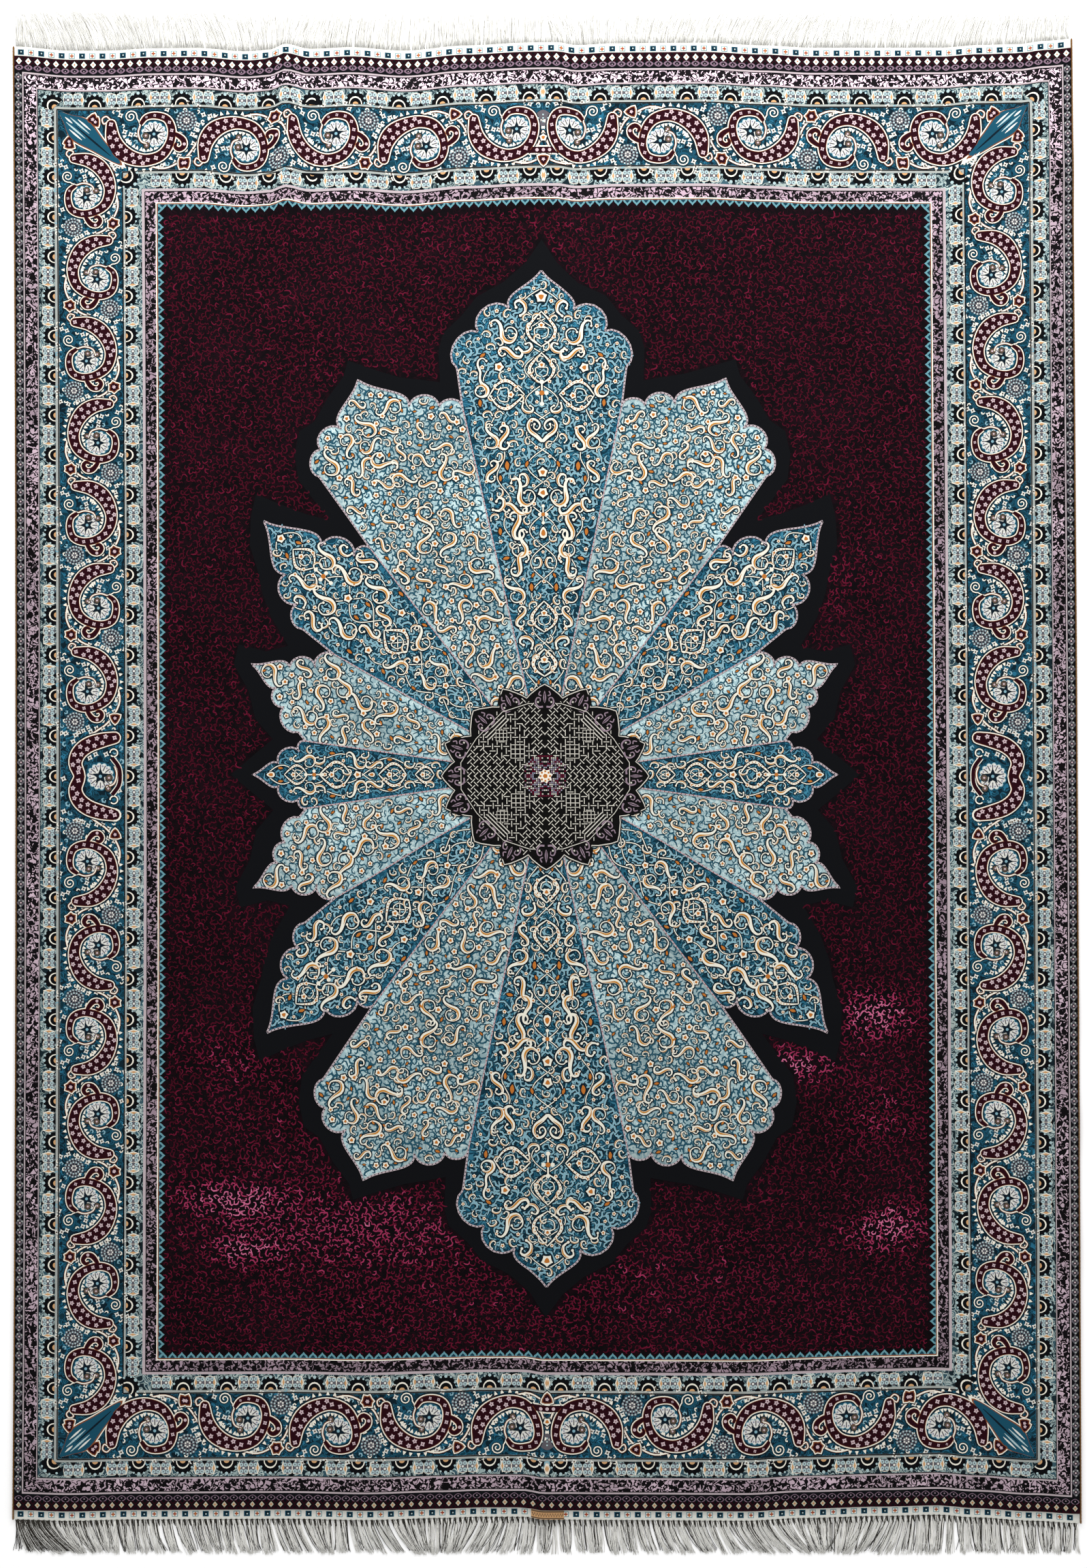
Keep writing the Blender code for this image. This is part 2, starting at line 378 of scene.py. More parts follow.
def spaced(path, gap, closed=False):
    """Places at an even gap along a path, and the unit direction at each."""
    path = np.concatenate((path, path[:1])) if closed else path
    leg = np.linalg.norm(np.diff(path, axis=0), axis=1)
    passed = np.concatenate(([0], np.cumsum(leg)))
    count = max(2, round(passed[-1] / gap) + 1)
    marks = np.linspace(0, passed[-1], count)[:-1 if closed else None]
    places = np.stack([np.interp(marks, passed, path[:, i]) for i in (0, 1)], 1)
    row = np.clip(np.searchsorted(passed, marks, "right") - 1, 0, len(leg) - 1)
    return places, (np.diff(path, axis=0) / leg[:, None])[row]


def inside(places, outline):
    """Whether each place lies in an outline, by how many of its edges lie to one side."""
    x, y = places[:, 0, None], places[:, 1, None]
    ax, ay = outline.T
    bx, by = np.roll(outline, -1, 0).T
    spans = (ay > y) != (by > y)
    cross = ax + (y - ay) * (bx - ax) / np.where(by == ay, 1e-9, by - ay)
    return (spans & (x < cross)).sum(1) % 2 == 1


def away(places, others):
    """How far each place is from the nearest of some others."""
    gap = np.linalg.norm(places[:, None] - others[None], axis=2)
    return gap.min(1)


# %% Repeats and mirrors
def copies(shapes, places):
    """The shapes at each place: rows of across, along, turn in degrees, size, and 1 or -1 to mirror."""
    x, y, turn, size, flip = np.atleast_2d(np.asarray(places, float)).T[:, :, None]
    cos, sin = size * np.cos(np.radians(turn)), size * np.sin(np.radians(turn))
    made = []
    for shape in shapes:
        px, py = shape.points[None, :, 0], shape.points[None, :, 1] * flip
        points = np.stack((x + px * cos - py * sin, y + px * sin + py * cos), -1)
        faces = np.where(flip[:, :, None] > 0, shape.faces[None], shape.faces[None, :, ::-1])
        faces = faces + (np.arange(len(x)) * len(shape.points))[:, None, None]
        made.append(shape._replace(points=points.reshape(-1, 2), faces=faces.reshape(-1, 3)))
    return made


def moved(shapes, place, turn=0, size=1):
    """The shapes once, at another place."""
    return copies(shapes, ((*place, turn, size, 1),))


def rows_at(places, turns=0, sizes=1, flips=1):
    """Rows for `copies`, with a turn, a size and a flip for each place or one for them all."""
    return np.column_stack((places, *[np.broadcast_to(part, len(places)) for part in (turns, sizes, flips)]))


def turning(degrees):
    """The matrix that turns rows of places by some degrees, anticlockwise."""
    cos, sin = math.cos(math.radians(degrees)), math.sin(math.radians(degrees))
    return np.array(((cos, sin), (-sin, cos)))


QUARTERS = ((0, 0, 0, 1, 1), (0, 0, 0, 1, -1), (0, 0, 180, 1, -1), (0, 0, 180, 1, 1))
HEAD_AND_FOOT = ((0, 0, 0, 1, 1), (0, 0, 0, 1, -1))
BOTH_SIDES = ((0, 0, 0, 1, 1), (0, 0, 180, 1, -1))


def lifted(shapes, levels):
    """The shapes some layers higher."""
    return [shape._replace(level=shape.level + levels) for shape in shapes]


# %% Pieces
pieces = {}


def add_piece(name, mesh, materials):
    """A mesh piece that rides on the rug, with its place in its vertices."""
    for material in materials:
        mesh.materials.append(material)
    made = bpy.data.objects.new(name, mesh)
    bpy.context.scene.collection.objects.link(made)
    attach(made, "root")
    pieces[name] = made
    return made


def triangle_mesh(name, points, faces, slots):
    """A mesh from arrays of points and triangles."""
    mesh = bpy.data.meshes.new(name)
    mesh.vertices.add(len(points))
    mesh.vertices.foreach_set("co", np.asarray(points, np.float32).ravel())
    mesh.loops.add(faces.size)
    mesh.loops.foreach_set("vertex_index", np.asarray(faces, np.int32).ravel())
    mesh.polygons.add(len(faces))
    mesh.polygons.foreach_set("loop_start", np.arange(0, faces.size, 3, dtype=np.int32))
    mesh.polygons.foreach_set("material_index", np.asarray(slots, np.int32))
    mesh.update(calc_edges=True)
    return mesh


PILE_WANDER = 0.06  # mm by which the cut ends of the pile differ, so that no two surfaces coincide


def lay_down(name, shapes, face=FACE):
    """One piece on the rug from many shapes, with a material slot for each silk."""
    chance = np.random.default_rng(len(pieces))
    used = sorted({shape.silk for shape in shapes})
    points, faces, slots, count = [], [], [], 0
    for shape in shapes:
        wander = chance.uniform(0, PILE_WANDER, len(shape.points))
        points.append(lay(shape.points, face + LAYER * shape.level + wander))
        faces.append(shape.faces + count)
        slots.append(np.full(len(shape.faces), used.index(shape.silk)))
        count += len(shape.points)
    mesh = triangle_mesh(name, np.concatenate(points), np.concatenate(faces), np.concatenate(slots))
    made = add_piece(name, mesh, [silks[key] for key in used])
    print(f"{name}: {len(mesh.polygons)} triangles in {len(used)} silks")
    return made


# %% [markdown]
# ## Knotted grounds
#
# A ground is busy: tiny curls of a few silks fill it. Drawing each would take millions of faces, so
# here a noise of the curls' size is cut into steps, each step its own silk, and its contours curl and
# close as knotted scrollwork does. The pattern reads the flat drawing from a UV map, in metres, so it
# follows the waves and folds. A second, slow noise is abrash: dye lots that differ a little.

# %% Ground materials
GROUNDS = {}


ABRASH = 0.25  # the share by which dye lots are lighter or darker


def ground(name, curl, steps, lean=(0.0, 1.0, 1.0, 1.0)):
    """A knotted ground with curls of a size in mm, in silks by rising steps of (from, hex colour).

    Where the pile leans it shines more or less, and less light reaches the foot: lean paints this light and
    shade into the colour, as two places along the rug, in metres, and the share of its brightness at each."""
    material = silk(f"silk_{name}_ground", steps[0][1])
    tree = material.node_tree
    flat = node(tree, "ShaderNodeUVMap", {"uv_map": "rug"}).outputs["UV"]
    curls = node(tree, "ShaderNodeTexNoise", {"noise_dimensions": "2D"}, Vector=flat,
                 Scale=1000 / (2.2 * curl), Detail=1.0, Roughness=0.45, Distortion=0.6)
    ramp = node(tree, "ShaderNodeValToRGB", Fac=curls.outputs["Fac"])
    ramp.color_ramp.interpolation = "CONSTANT"
    marks = ramp.color_ramp.elements
    marks.remove(marks[1])
    marks[0].color = linear(steps[0][1])
    for start, code in steps[1:]:
        marks.new(start).color = linear(code)
    lots = node(tree, "ShaderNodeTexNoise", {"noise_dimensions": "2D"}, Vector=flat, Scale=9.0, Detail=2.0)
    value = node(tree, "ShaderNodeMapRange", Value=lots.outputs["Fac"], From_Min=0.3, From_Max=0.7,
                 To_Min=1 - ABRASH, To_Max=1 + ABRASH)
    start, end, share_at_start, share_at_end = lean
    along = node(tree, "ShaderNodeSeparateXYZ", Vector=flat).outputs["Y"]
    painted_brightness = node(tree, "ShaderNodeMapRange", Value=along, From_Min=start, From_Max=end,
                   To_Min=share_at_start, To_Max=share_at_end)
    both = node(tree, "ShaderNodeMath", {"operation": "MULTIPLY"})
    tree.links.new(value.outputs["Result"], both.inputs[0])
    tree.links.new(painted_brightness.outputs["Result"], both.inputs[1])
    shaded = node(tree, "ShaderNodeHueSaturation", Color=ramp.outputs["Color"], Value=both.outputs["Value"])
    tree.links.new(shaded.outputs["Color"], tree.nodes["Principled BSDF"].inputs["Base Color"])
    GROUNDS[name] = material


# The lean rows paint light and shade: each ground is lighter toward the head end and darker toward the foot
ground("mauve", 2.7, ((0.0, "a8949f"), (0.39, "0a080a"), (0.615, "a08c97")),
       lean=(0.86, 0.99, 1.0, 1.9))
ground("inner_mauve", 2.7, ((0.0, "85727d"), (0.39, "0a080a"), (0.615, "8d7a85")),
       lean=(0.60, 0.85, 1.0, 1.5))
ground("guard", 4.4, ((0.0, "111f25"), (0.40, "829392"), (0.48, "22363f"), (0.55, "98a5a1"),
                      (0.64, "2f4a54")))
ground("teal", 4.0, ((0.0, "091c25"), (0.42, "184558"), (0.50, "0d2934"), (0.58, "215c75"),
                     (0.64, "0f323e")))
ground("deep", 5.0, ((0.0, "0d3140"), (0.42, "29647b"), (0.49, "10384b"), (0.56, "36738a"),
                     (0.63, "164559")), lean=(-0.75, 0.2, 0.72, 0.96))
ground("pale", 5.0, ((0.0, "87a1a6"), (0.42, "aabdbd"), (0.50, "8faaae"), (0.58, "b2c1bf"),
                     (0.66, "82a0a8")), lean=(-0.75, 0.2, 0.84, 1.0))
ground("field", 5.0, ((0.0, "080407"), (0.47, "14050b"), (0.53, "080407"), (0.60, "12040a")))
print("grounds:", ", ".join(GROUNDS))

# %% [markdown]
# ## The cloth and its bands
#
# The foundation is a closed slab on the solid's own outline, the body of the cloth. The knotted face
# lies on it as mitred bands: each row of the table says how far in from the pile's side and from its
# end that band reaches. A grid is the right start for cloth, because its facets can bend at a fold.


# %% Foundation
def settle(name, form, material):
    """Lay a flat bmesh, whose z is a height in mm, on the floor and make it a piece."""
    mesh = bpy.data.meshes.new(name)
    form.to_mesh(mesh)
    form.free()
    flat = np.empty(3 * len(mesh.vertices), np.float32)
    mesh.vertices.foreach_get("co", flat)
    flat = flat.reshape(-1, 3).astype(float)
    mesh.vertices.foreach_set("co", lay(flat[:, :2], flat[:, 2]).astype(np.float32).ravel())
    mesh.update()
    made = add_piece(name, mesh, [material])
    return made


SLAB_STEP = 20.0
SLAB_INSET = 1.2  # mm by which the slab keeps below the knotted face, so that it never shows through
form = bmesh.new()
slab_columns, slab_rows = round(2 * HALF_ACROSS / SLAB_STEP), round(2 * HALF_ALONG / SLAB_STEP)
bmesh.ops.create_grid(form, x_segments=slab_columns, y_segments=slab_rows, size=1)
bmesh.ops.scale(form, vec=(HALF_ACROSS, HALF_ALONG, 1), verts=form.verts)
upper = bmesh.ops.extrude_face_region(form, geom=form.faces[:])["geom"]
raised = [v for v in upper if isinstance(v, bmesh.types.BMVert)]
bmesh.ops.translate(form, vec=(0, 0, FACE), verts=raised)
inner = [v for v in raised if abs(v.co.x) < HALF_ACROSS - 1 and abs(v.co.y) < HALF_ALONG - 1]
bmesh.ops.translate(form, vec=(0, 0, -SLAB_INSET), verts=inner)
bmesh.ops.recalc_face_normals(form, faces=form.faces)
foundation = settle("foundation", form, silks["wine_deep"])
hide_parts("pile")
print("foundation:", len(foundation.data.polygons), "faces")

# %% Bands of the knotted face
Band = namedtuple("Band", "side_to end_to finish")
BANDS = {
    "edge": Band(11.0, 23.3, "night"),
    "edge_line": Band(13.0, 26.0, "pink"),
    "outer_mauve": Band(31.0, 43.7, "mauve_ground"),
    "outer_guard_line": Band(32.5, 46.2, "pink"),
    "outer_guard": Band(56.0, 69.0, "guard_ground"),
    "outer_main_line": Band(61.5, 73.9, "pale_grey"),
    "main": Band(152.7, 163.3, "teal_ground"),
    "inner_main_line": Band(157.0, 168.5, "pale_grey"),
    "inner_guard": Band(180.8, 190.5, "guard_ground"),
    "inner_guard_line": Band(185.0, 194.4, "pink"),
    "inner_mauve": Band(200.6, 210.4, "inner_mauve_ground"),
    "field_line": Band(203.6, 213.4, "cream"),
}


def corners(side_in, end_in):
    """The corners of a rectangle inset from the pile's edges, anticlockwise from the foot's left."""
    a, b = HALF_ACROSS - side_in, HALF_ALONG - end_in
    return np.array(((-a, -b), (a, -b), (a, b), (-a, b)))


def finish_named(name):
    """The material of a ground, or else of a plain silk."""
    return GROUNDS[name.removesuffix("_ground")] if name.endswith("_ground") else silks[name]


def map_flat(form, finish, baked):
    """Map each corner to its flat place on the rug, in metres, and a ground also for baking."""
    rug_map = form.loops.layers.uv.new("rug")
    bake_map = form.loops.layers.uv.new("OFBake") if finish.endswith("_ground") else None
    for face in form.faces:
        for loop in face.loops:
            x, y = loop.vert.co.xy
            loop[rug_map].uv = (x / 1000, y / 1000)
            if bake_map is not None:
                loop[bake_map].uv = baked(loop.vert)


LANE_ROOM = 1.15  # how much wider than its band a lane of the map for baking is
LANE_MARGIN, BOX_MARGIN = 0.04, 0.01  # the shares of a lane, and of the whole map, that stay free


def band_frame(name, outer, inner, finish):
    """A mitred frame between two rectangles. Its map for baking folds the long band into lanes."""
    form = bmesh.new()
    runs = np.linalg.norm(np.roll(outer, -1, 0) - outer, axis=1)
    wide = float(np.abs(outer - inner).max())
    lanes = max(1, round(math.sqrt(runs.sum() / (wide * LANE_ROOM))))
    lane_length = runs.sum() / lanes
    passed, bake = 0.0, {}
    for i, run in enumerate(runs):
        following = (i + 1) % 4
        bounds = [k * lane_length - passed for k in range(lanes + 1)]
        cuts = [0.0, *(cut for cut in bounds if 0 < cut < run), run]
        for start, end in zip(cuts, cuts[1:]):
            lane = int((passed + (start + end) / 2) / lane_length)
            columns, rows = max(1, round((end - start) / STEP)), max(1, round(wide / STEP))
            made = bmesh.ops.create_grid(form, x_segments=columns, y_segments=rows, size=0.5)["verts"]
            for vert in made:
                s = (start + (end - start) * (vert.co.x + 0.5)) / run
                t = vert.co.y + 0.5
                outside = outer[i] + (outer[following] - outer[i]) * s
                inward = inner[i] + (inner[following] - inner[i]) * s
                up_lane = LANE_MARGIN + (1 - 2 * LANE_MARGIN) * t
                bake[vert] = ((s * run + passed) / lane_length - lane, (lane + up_lane) / lanes)
                vert.co = (*(outside + (inward - outside) * t), FACE)
        passed += run
    map_flat(form, finish, bake.get)
    return settle(name, form, finish_named(finish))


reached = corners(0.0, 0.0)
for title, band in BANDS.items():
    inward = corners(band.side_to, band.end_to)
    band_frame(title, reached, inward, band.finish)
    reached = inward
FIELD_ACROSS, FIELD_ALONG = reached[2]
print(len(BANDS), f"bands; the field is {2 * FIELD_ACROSS:.0f} x {2 * FIELD_ALONG:.0f} mm")


# %% Field
def field_half(name, facing):
    """Half of the field, from the long axis to one side."""
    form = bmesh.new()
    bmesh.ops.create_grid(form, x_segments=round(FIELD_ACROSS / STEP),
                          y_segments=round(2 * FIELD_ALONG / STEP), size=0.5)
    for vert in form.verts:
        vert.co = ((vert.co.x + facing / 2) * FIELD_ACROSS, vert.co.y * 2 * FIELD_ALONG, FACE)
    map_flat(form, "field_ground", lambda vert: (abs(vert.co.x) / FIELD_ACROSS,
                                                 vert.co.y / FIELD_ALONG / 2 + 0.5))
    return settle(name, form, GROUNDS["field"])


field_half("field_right", 1)
field_half("field_left", -1)
print("field laid")

# %% [markdown]
# ## The halo and the medallion
#
# Sixteen petals stand round a dark star, on a black halo with a point beyond each petal. A weaver's
# cartoon draws one quarter and mirrors it, and so do these tables. A row of PETAL_SIDES is one side of
# a petal, from the ray that it shares with its neighbour, past two notches between lobes, to the tip.
# Lobes are arcs, and the last stretch swells and then hollows into the point.

# %% Outline tables, in degrees from the long axis and mm from the middle
MEDALLION_MIDDLE = np.array((-2.4, 2.5))
STAR_MIDDLE = np.array((-2.4, 0.5))
PetalSide = namedtuple(
    "PetalSide", "ray joins starts_at starts low_at low_out high_at high_out tip_at tip_out")
PETAL_SIDES = {
    "north": PetalSide(12.2, 538, 11.75, 596, 8.1, 640, 3.9, 667, 0.0, 720),
    "second_left": PetalSide(12.2, 538, 12.2, 538, 15.6, 547, 19.8, 562, 24.9, 625),
    "second_right": PetalSide(37.4, 407, 36.8, 534, 34.2, 564, 30.1, 573, 24.9, 625),
    "third_left": PetalSide(37.4, 407, 37.4, 406, 41.0, 413, 44.1, 456, 47.7, 541),
    "third_right": PetalSide(60.2, 347, 58.9, 404, 55.2, 428, 52.1, 467, 47.7, 541),
    "fourth_left": PetalSide(60.2, 347, 60.4, 346, 65.0, 361, 67.1, 395, 69.3, 448),
    "fourth_right": PetalSide(82.0, 345, 80.1, 358, 75.4, 384, 71.9, 402, 69.3, 448),
    "east": PetalSide(82.0, 345, 82.0, 347, 84.8, 351, 87.7, 381, 90.0, 418),
}
# Rows of (degrees, mm): each point beyond a petal stands between two valleys
HALO = np.array((
    (0.0, 764), (1.8, 731), (4.3, 707), (7.7, 691), (9.8, 668), (12.5, 649), (13.6, 627), (14.5, 582),
    (17.1, 595), (19.6, 608), (22.6, 632), (25.0, 656), (26.4, 638), (29.5, 622), (32.7, 603),
    (35.2, 603), (37.7, 580), (39.6, 549), (40.0, 476), (42.3, 505), (44.1, 538), (45.5, 575),
    (48.4, 559), (52.0, 533), (54.7, 500), (57.2, 479), (60.0, 451), (63.3, 410), (66.1, 435),
    (66.9, 475), (70.5, 471), (74.3, 439), (79.1, 421), (82.6, 392), (86.4, 419), (90.0, 449),
))
UNDER_STAR = 100.0  # mm from the middle, where a petal goes under the star
SHOULDER_BULGE, LOBE_BULGE = 0.36, 0.42  # how far the first lobe and the second swell, by their chords


def polar(angle, out):
    """A place by its angle from the long axis, clockwise, and its distance from the middle."""
    turn = np.radians(angle)
    return np.stack((np.sin(turn) * out, np.cos(turn) * out), -1)


def all_round(quarter):
    """A quarter's outline, from the head to the right, mirrored into a closed one, anticlockwise."""
    half = np.concatenate((quarter, quarter[-2::-1] * (1, -1)))
    return np.concatenate((half, half[-2:0:-1] * (-1, 1)))[::-1]


# %% Petal outlines
def lobe(start, end, bulge, steps=8):
    """An arc between two places that swells away from the middle, by this share of its chord."""
    centre, half = (start + end) / 2, (end - start) / 2
    out = np.array((-half[1], half[0]))
    out *= math.copysign(1, out @ centre)
    t = np.linspace(-1, 1, steps)[:, None] * math.pi / 2
    return centre + half * np.sin(t) + out * 2 * bulge * np.cos(t)


def ogee(start, end):
    """From the last notch to the tip: it leaves outward, swells, and runs up hollow to the point."""
    span = end - start
    out = np.array((-span[1], span[0]))
    out *= math.copysign(1, out @ (start + end))
    one, two = start + 0.12 * span + 0.34 * out, start + 0.62 * span - 0.06 * out
    t = np.linspace(0, 1, 12)[:, None]
    return start * (1 - t) ** 3 + 3 * one * t * (1 - t) ** 2 + 3 * two * t * t * (1 - t) + end * t ** 3


def petal_side(row):
    """The outline of a petal's side, from where it joins its neighbour to the tip."""
    start, low = polar(row.starts_at, row.starts), polar(row.low_at, row.low_out)
    high, tip = polar(row.high_at, row.high_out), polar(row.tip_at, row.tip_out)
    stretches = (lobe(start, low, SHOULDER_BULGE), lobe(low, high, LOBE_BULGE)[1:], ogee(high, tip)[1:])
    return np.concatenate((polar(row.ray, row.joins)[None], *stretches))


edges = {key: petal_side(row) for key, row in PETAL_SIDES.items()}
# Outer edges, anticlockwise, from the right ray of each petal to its left one
OUTER_EDGES = {
    "north": np.concatenate((edges["north"], edges["north"][-2::-1] * (-1, 1))),
    "second": np.concatenate((edges["second_right"], edges["second_left"][-2::-1])),
    "third": np.concatenate((edges["third_right"], edges["third_left"][-2::-1])),
    "fourth": np.concatenate((edges["fourth_right"], edges["fourth_left"][-2::-1])),
    "east": np.concatenate((edges["east"] * (1, -1), edges["east"][-2::-1])),
}


def petal_outline(outer):
    """A petal's whole outline: its outer edge, and its two rays down to the star."""
    left, right = outer[-1], outer[0]
    ends = [ray / np.linalg.norm(ray) * UNDER_STAR for ray in (left, right)]
    return np.concatenate((outer, ends))


PETALS = {key: petal_outline(outer) for key, outer in OUTER_EDGES.items()}
halo_outline = all_round(polar(HALO[:, 0], HALO[:, 1]))
print("petals' points:", {key: len(outline) for key, outline in PETALS.items()})


# %% Lay the halo and the petals' grounds
def cut_to_grid(form):
    """Cut flat faces along a square grid, so that they can bend over the folds."""
    for axis in (0, 1):
        reach = [vert.co[axis] for vert in form.verts]
        for place in np.arange(math.ceil(min(reach) / STEP) * STEP, max(reach), STEP):
            normal = [0.0, 0.0, 0.0]
            normal[axis] = 1.0
            point = [place * part for part in normal]
            everything = form.verts[:] + form.edges[:] + form.faces[:]
            bmesh.ops.bisect_plane(form, geom=everything, dist=1e-4, plane_co=point, plane_no=normal)


def flat_patch(name, outline, finish, height, turn=0.0):
    """A surface with this outline. Its map for baking is its box, once turned by some degrees."""
    form = bmesh.new()
    form.faces.new([form.verts.new((*place, height)) for place in outline])
    cut_to_grid(form)
    spin = turning(turn)
    turned = np.asarray(outline) @ spin
    low, size = turned.min(0), np.ptp(turned, axis=0)
    map_flat(form, finish, lambda vert: BOX_MARGIN + (1 - 2 * BOX_MARGIN) * (
        np.array(vert.co.xy) @ spin - low) / size)
    bmesh.ops.triangulate(form, faces=form.faces)
    return settle(name, form, finish_named(finish))


flat_patch("halo", halo_outline + MEDALLION_MIDDLE, "night", FACE + LAYER)
# Each petal's ground, the degrees of its axis, its mirrors, and the signs of across and along of each copy
PetalKind = namedtuple("PetalKind", "finish turn mirrors signs")
QUARTER_SIGNS = {"head_right": (1, 1), "head_left": (-1, 1), "foot_right": (1, -1), "foot_left": (-1, -1)}
PETAL_KINDS = {
    "north": PetalKind("deep_ground", 0.0, HEAD_AND_FOOT, {"head": (1, 1), "foot": (1, -1)}),
    "second": PetalKind("pale_ground", 25.0, QUARTERS, QUARTER_SIGNS),
    "third": PetalKind("deep_ground", 48.0, QUARTERS, QUARTER_SIGNS),
    "fourth": PetalKind("pale_ground", 69.3, QUARTERS, QUARTER_SIGNS),
    "east": PetalKind("deep_ground", 90.0, BOTH_SIDES, {"right": (1, 1), "left": (-1, 1)}),
}
for key, kind in PETAL_KINDS.items():
    for place, (sx, sy) in kind.signs.items():
        outline = (PETALS[key] * (sx, sy))[::sx * sy]
        flat_patch(f"petal_{key}_{place}", outline + MEDALLION_MIDDLE, kind.finish, FACE + 2 * LAYER,
                   turn=kind.turn * sx * sy)
print("petals laid:", sum(name.startswith("petal") for name in pieces))

# %% [markdown]
# ## Scrolls, buds and flowers
#
# The petals are strewn with arabesque: cream scrolls whose hooked end swells and shades to golden
# brown, small orange buds, and cream flowers with orange hearts. Each is drawn once here, in mm, with
# a navy edge under it. A path and a row of widths are all that a scroll needs.


# %% Scroll motifs
def centred(shapes):
    """The shapes moved so that the box round them all has its middle at the origin."""
    points = np.concatenate([shape.points for shape in shapes])
    centre = (points.min(0) + points.max(0)) / 2
    return [shape._replace(points=shape.points - centre) for shape in shapes]


THINNEST, SWELL = 1.3, 1.6  # a scroll's least width in mm, and its swelling over the tables' widths


def drawn_scroll(points, widths, shade, size=1.2, ends=1.9, edge=4.0, per=3):
    """A cream scroll with a navy edge and round ends, shaded on one side from one point to another."""
    path = smooth(points, per) * size
    wide = smooth(np.array(widths, float)[:, None], per)[:, 0]
    wide = THINNEST + (wide - wide.min()) * SWELL
    start, end, facing = shade
    part = slice(start * per, end * per + 1)
    ahead = np.gradient(path, axis=0)[part]
    ahead /= np.linalg.norm(ahead, axis=1)[:, None]
    aside = np.stack((-ahead[:, 1], ahead[:, 0]), 1) * wide[part, None] * 0.2 * facing
    fade = np.sin(np.linspace(0.15, math.pi - 0.15, len(aside)))
    tips = path[[0, -1]]
    return centred([
        *strands(path, (wide + edge, "navy", 1), (wide, "scroll", 2)),
        ribbons(path[part] + aside, wide[part] * 0.42 * fade, "scroll_shade", 3),
        dots(tips, ends + edge / 2, "navy", 1), dots(tips, ends, "scroll", 2)])


FLOWER = [patches(lobed(8.448, 5, 0.7, 3), "navy", 1), patches(lobed(6.6, 5, 0.5, 3), "scroll", 2),
          patches(lobed(3.3, 3, 0.5, 3), "orange", 3)]


def ogive(half_wide, half_tall):
    """A pointed frame of two bowed scrolls, dotted orange, round a flower and a pair of small curls."""
    bow = smooth(((0, -half_tall), (half_wide * 0.75, -half_tall * 0.55), (half_wide, 0.0),
                  (half_wide * 0.55, half_tall * 0.55), (0, half_tall)), 4)
    wide = np.interp(np.linspace(0, 1, len(bow)), (0, 0.5, 1), (1.2, 4.4, 1.2))
    curl = smooth(((1.2, -0.55 * half_tall), (0.42 * half_wide, -0.40 * half_tall),
                   (0.50 * half_wide, 0.0), (0.22 * half_wide, 0.10 * half_tall)), 3)
    one_side = [*strands(bow, (wide + 4.0, "navy", 1), (wide, "scroll", 2)),
                dots(spaced(bow[4:13], 5.0)[0], 1.1, "orange", 3, sides=4),
                *strands(curl, (3.4, "navy", 1), (1.4, "scroll", 2)), dots(curl[-1:], 1.7, "scroll", 2)]
    return copies(one_side, BOTH_SIDES) + moved(lifted(FLOWER, 1), (0, 0.22 * half_tall), size=0.8)


HOOK_ROWS = (
    ((24, 3), (25.5, 8), (21, 11.5), (14.5, 8.5), (9.5, 1), (6, -6), (0, -9.5), (-7, -8), (-10, -1),
     (-8.5, 6), (-2, 9.3), (3.6, 7), (4.6, 2.4)),
    (0.9, 1.3, 1.9, 2.7, 3.6, 4.3, 4.0, 2.9, 1.7, 1.2, 1.1, 1.0, 0.9))
HOOK = drawn_scroll(*HOOK_ROWS, (4, 8, -1))
SMALL_HOOK = drawn_scroll(*HOOK_ROWS, (3, 8, -1), per=2)
LONG_HOOK = drawn_scroll(
    ((38, -2), (41, 3), (38, 8), (31, 8.5), (23, 4), (15, 3.5), (9, 1), (5, -5), (0, -8.5), (-6.5, -7),
     (-9, -1), (-7, 5), (-1.5, 7.5), (2.6, 5)),
    (0.9, 1.2, 1.6, 2.0, 2.2, 2.0, 2.8, 3.8, 4.0, 3.0, 1.8, 1.2, 1.0, 0.9), (6, 9, -1))
ESS = drawn_scroll(
    ((-7, 1), (-11, 0), (-12.5, -5), (-8, -9.5), (-2, -6.5), (1, 0), (4, 6.5), (10, 9.5), (14, 5),
     (12, 0), (8, 1)),
    (0.9, 1.2, 1.8, 2.8, 3.6, 3.8, 3.4, 2.4, 1.6, 1.1, 0.9), (3, 7, -1), per=2)
CURL = drawn_scroll(((-7, -4), (-6, 2), (0, 5), (6, 2.5), (6, -2.5), (1.8, -3.6)),
                    (0.9, 1.8, 2.6, 2.2, 1.3, 0.9), (1, 3, 1), ends=1.7, edge=3.4, per=2)
HALF_HEART = drawn_scroll(
    ((0, -20), (7, -13), (16, -6), (19, 3), (14, 11), (6, 9), (2, 2), (6, -4), (11, -1), (10, 4)),
    (2.8, 3.4, 3.2, 2.8, 2.2, 1.9, 1.5, 1.2, 1.0, 0.9), (1, 4, 1), size=1.0)
HEART = copies(moved(HALF_HEART, (11.0, 0)), BOTH_SIDES)
BROWN_BUD = [patches(smooth(((0, -6), (3.6, -1), (1.4, 5.6), (-2.8, 1.4)), 3, closed=True), "navy", 1),
             patches(smooth(((0, -4.2), (2.4, -0.6), (0.9, 3.8), (-1.4, 0.8)), 3, closed=True), "orange", 2)]
bud_turn = np.linspace(0, 2 * np.pi, 9, endpoint=False)
bud_rim = np.stack((np.cos(bud_turn) * 2.7 * (1 - 0.35 * np.sin(bud_turn)), np.sin(bud_turn) * 4.25), 1)
BUD = [patches(bud_rim * 1.7, "navy", 1), patches(bud_rim * 1.3, "scroll", 2),
       patches(bud_rim * 0.75, "orange", 3)]
CROSS = [ribbons(((0, -12), (0, 12)), 4.2, "navy", 1),
         ribbons(((0, -11), (0, 11)), 1.8, "scroll", 2),
         dots(((0, 12), (-5, 0), (5, 0), (0, -12)), 2.6, "scroll", 2), dots((0, 0), 3.0, "orange", 3)]
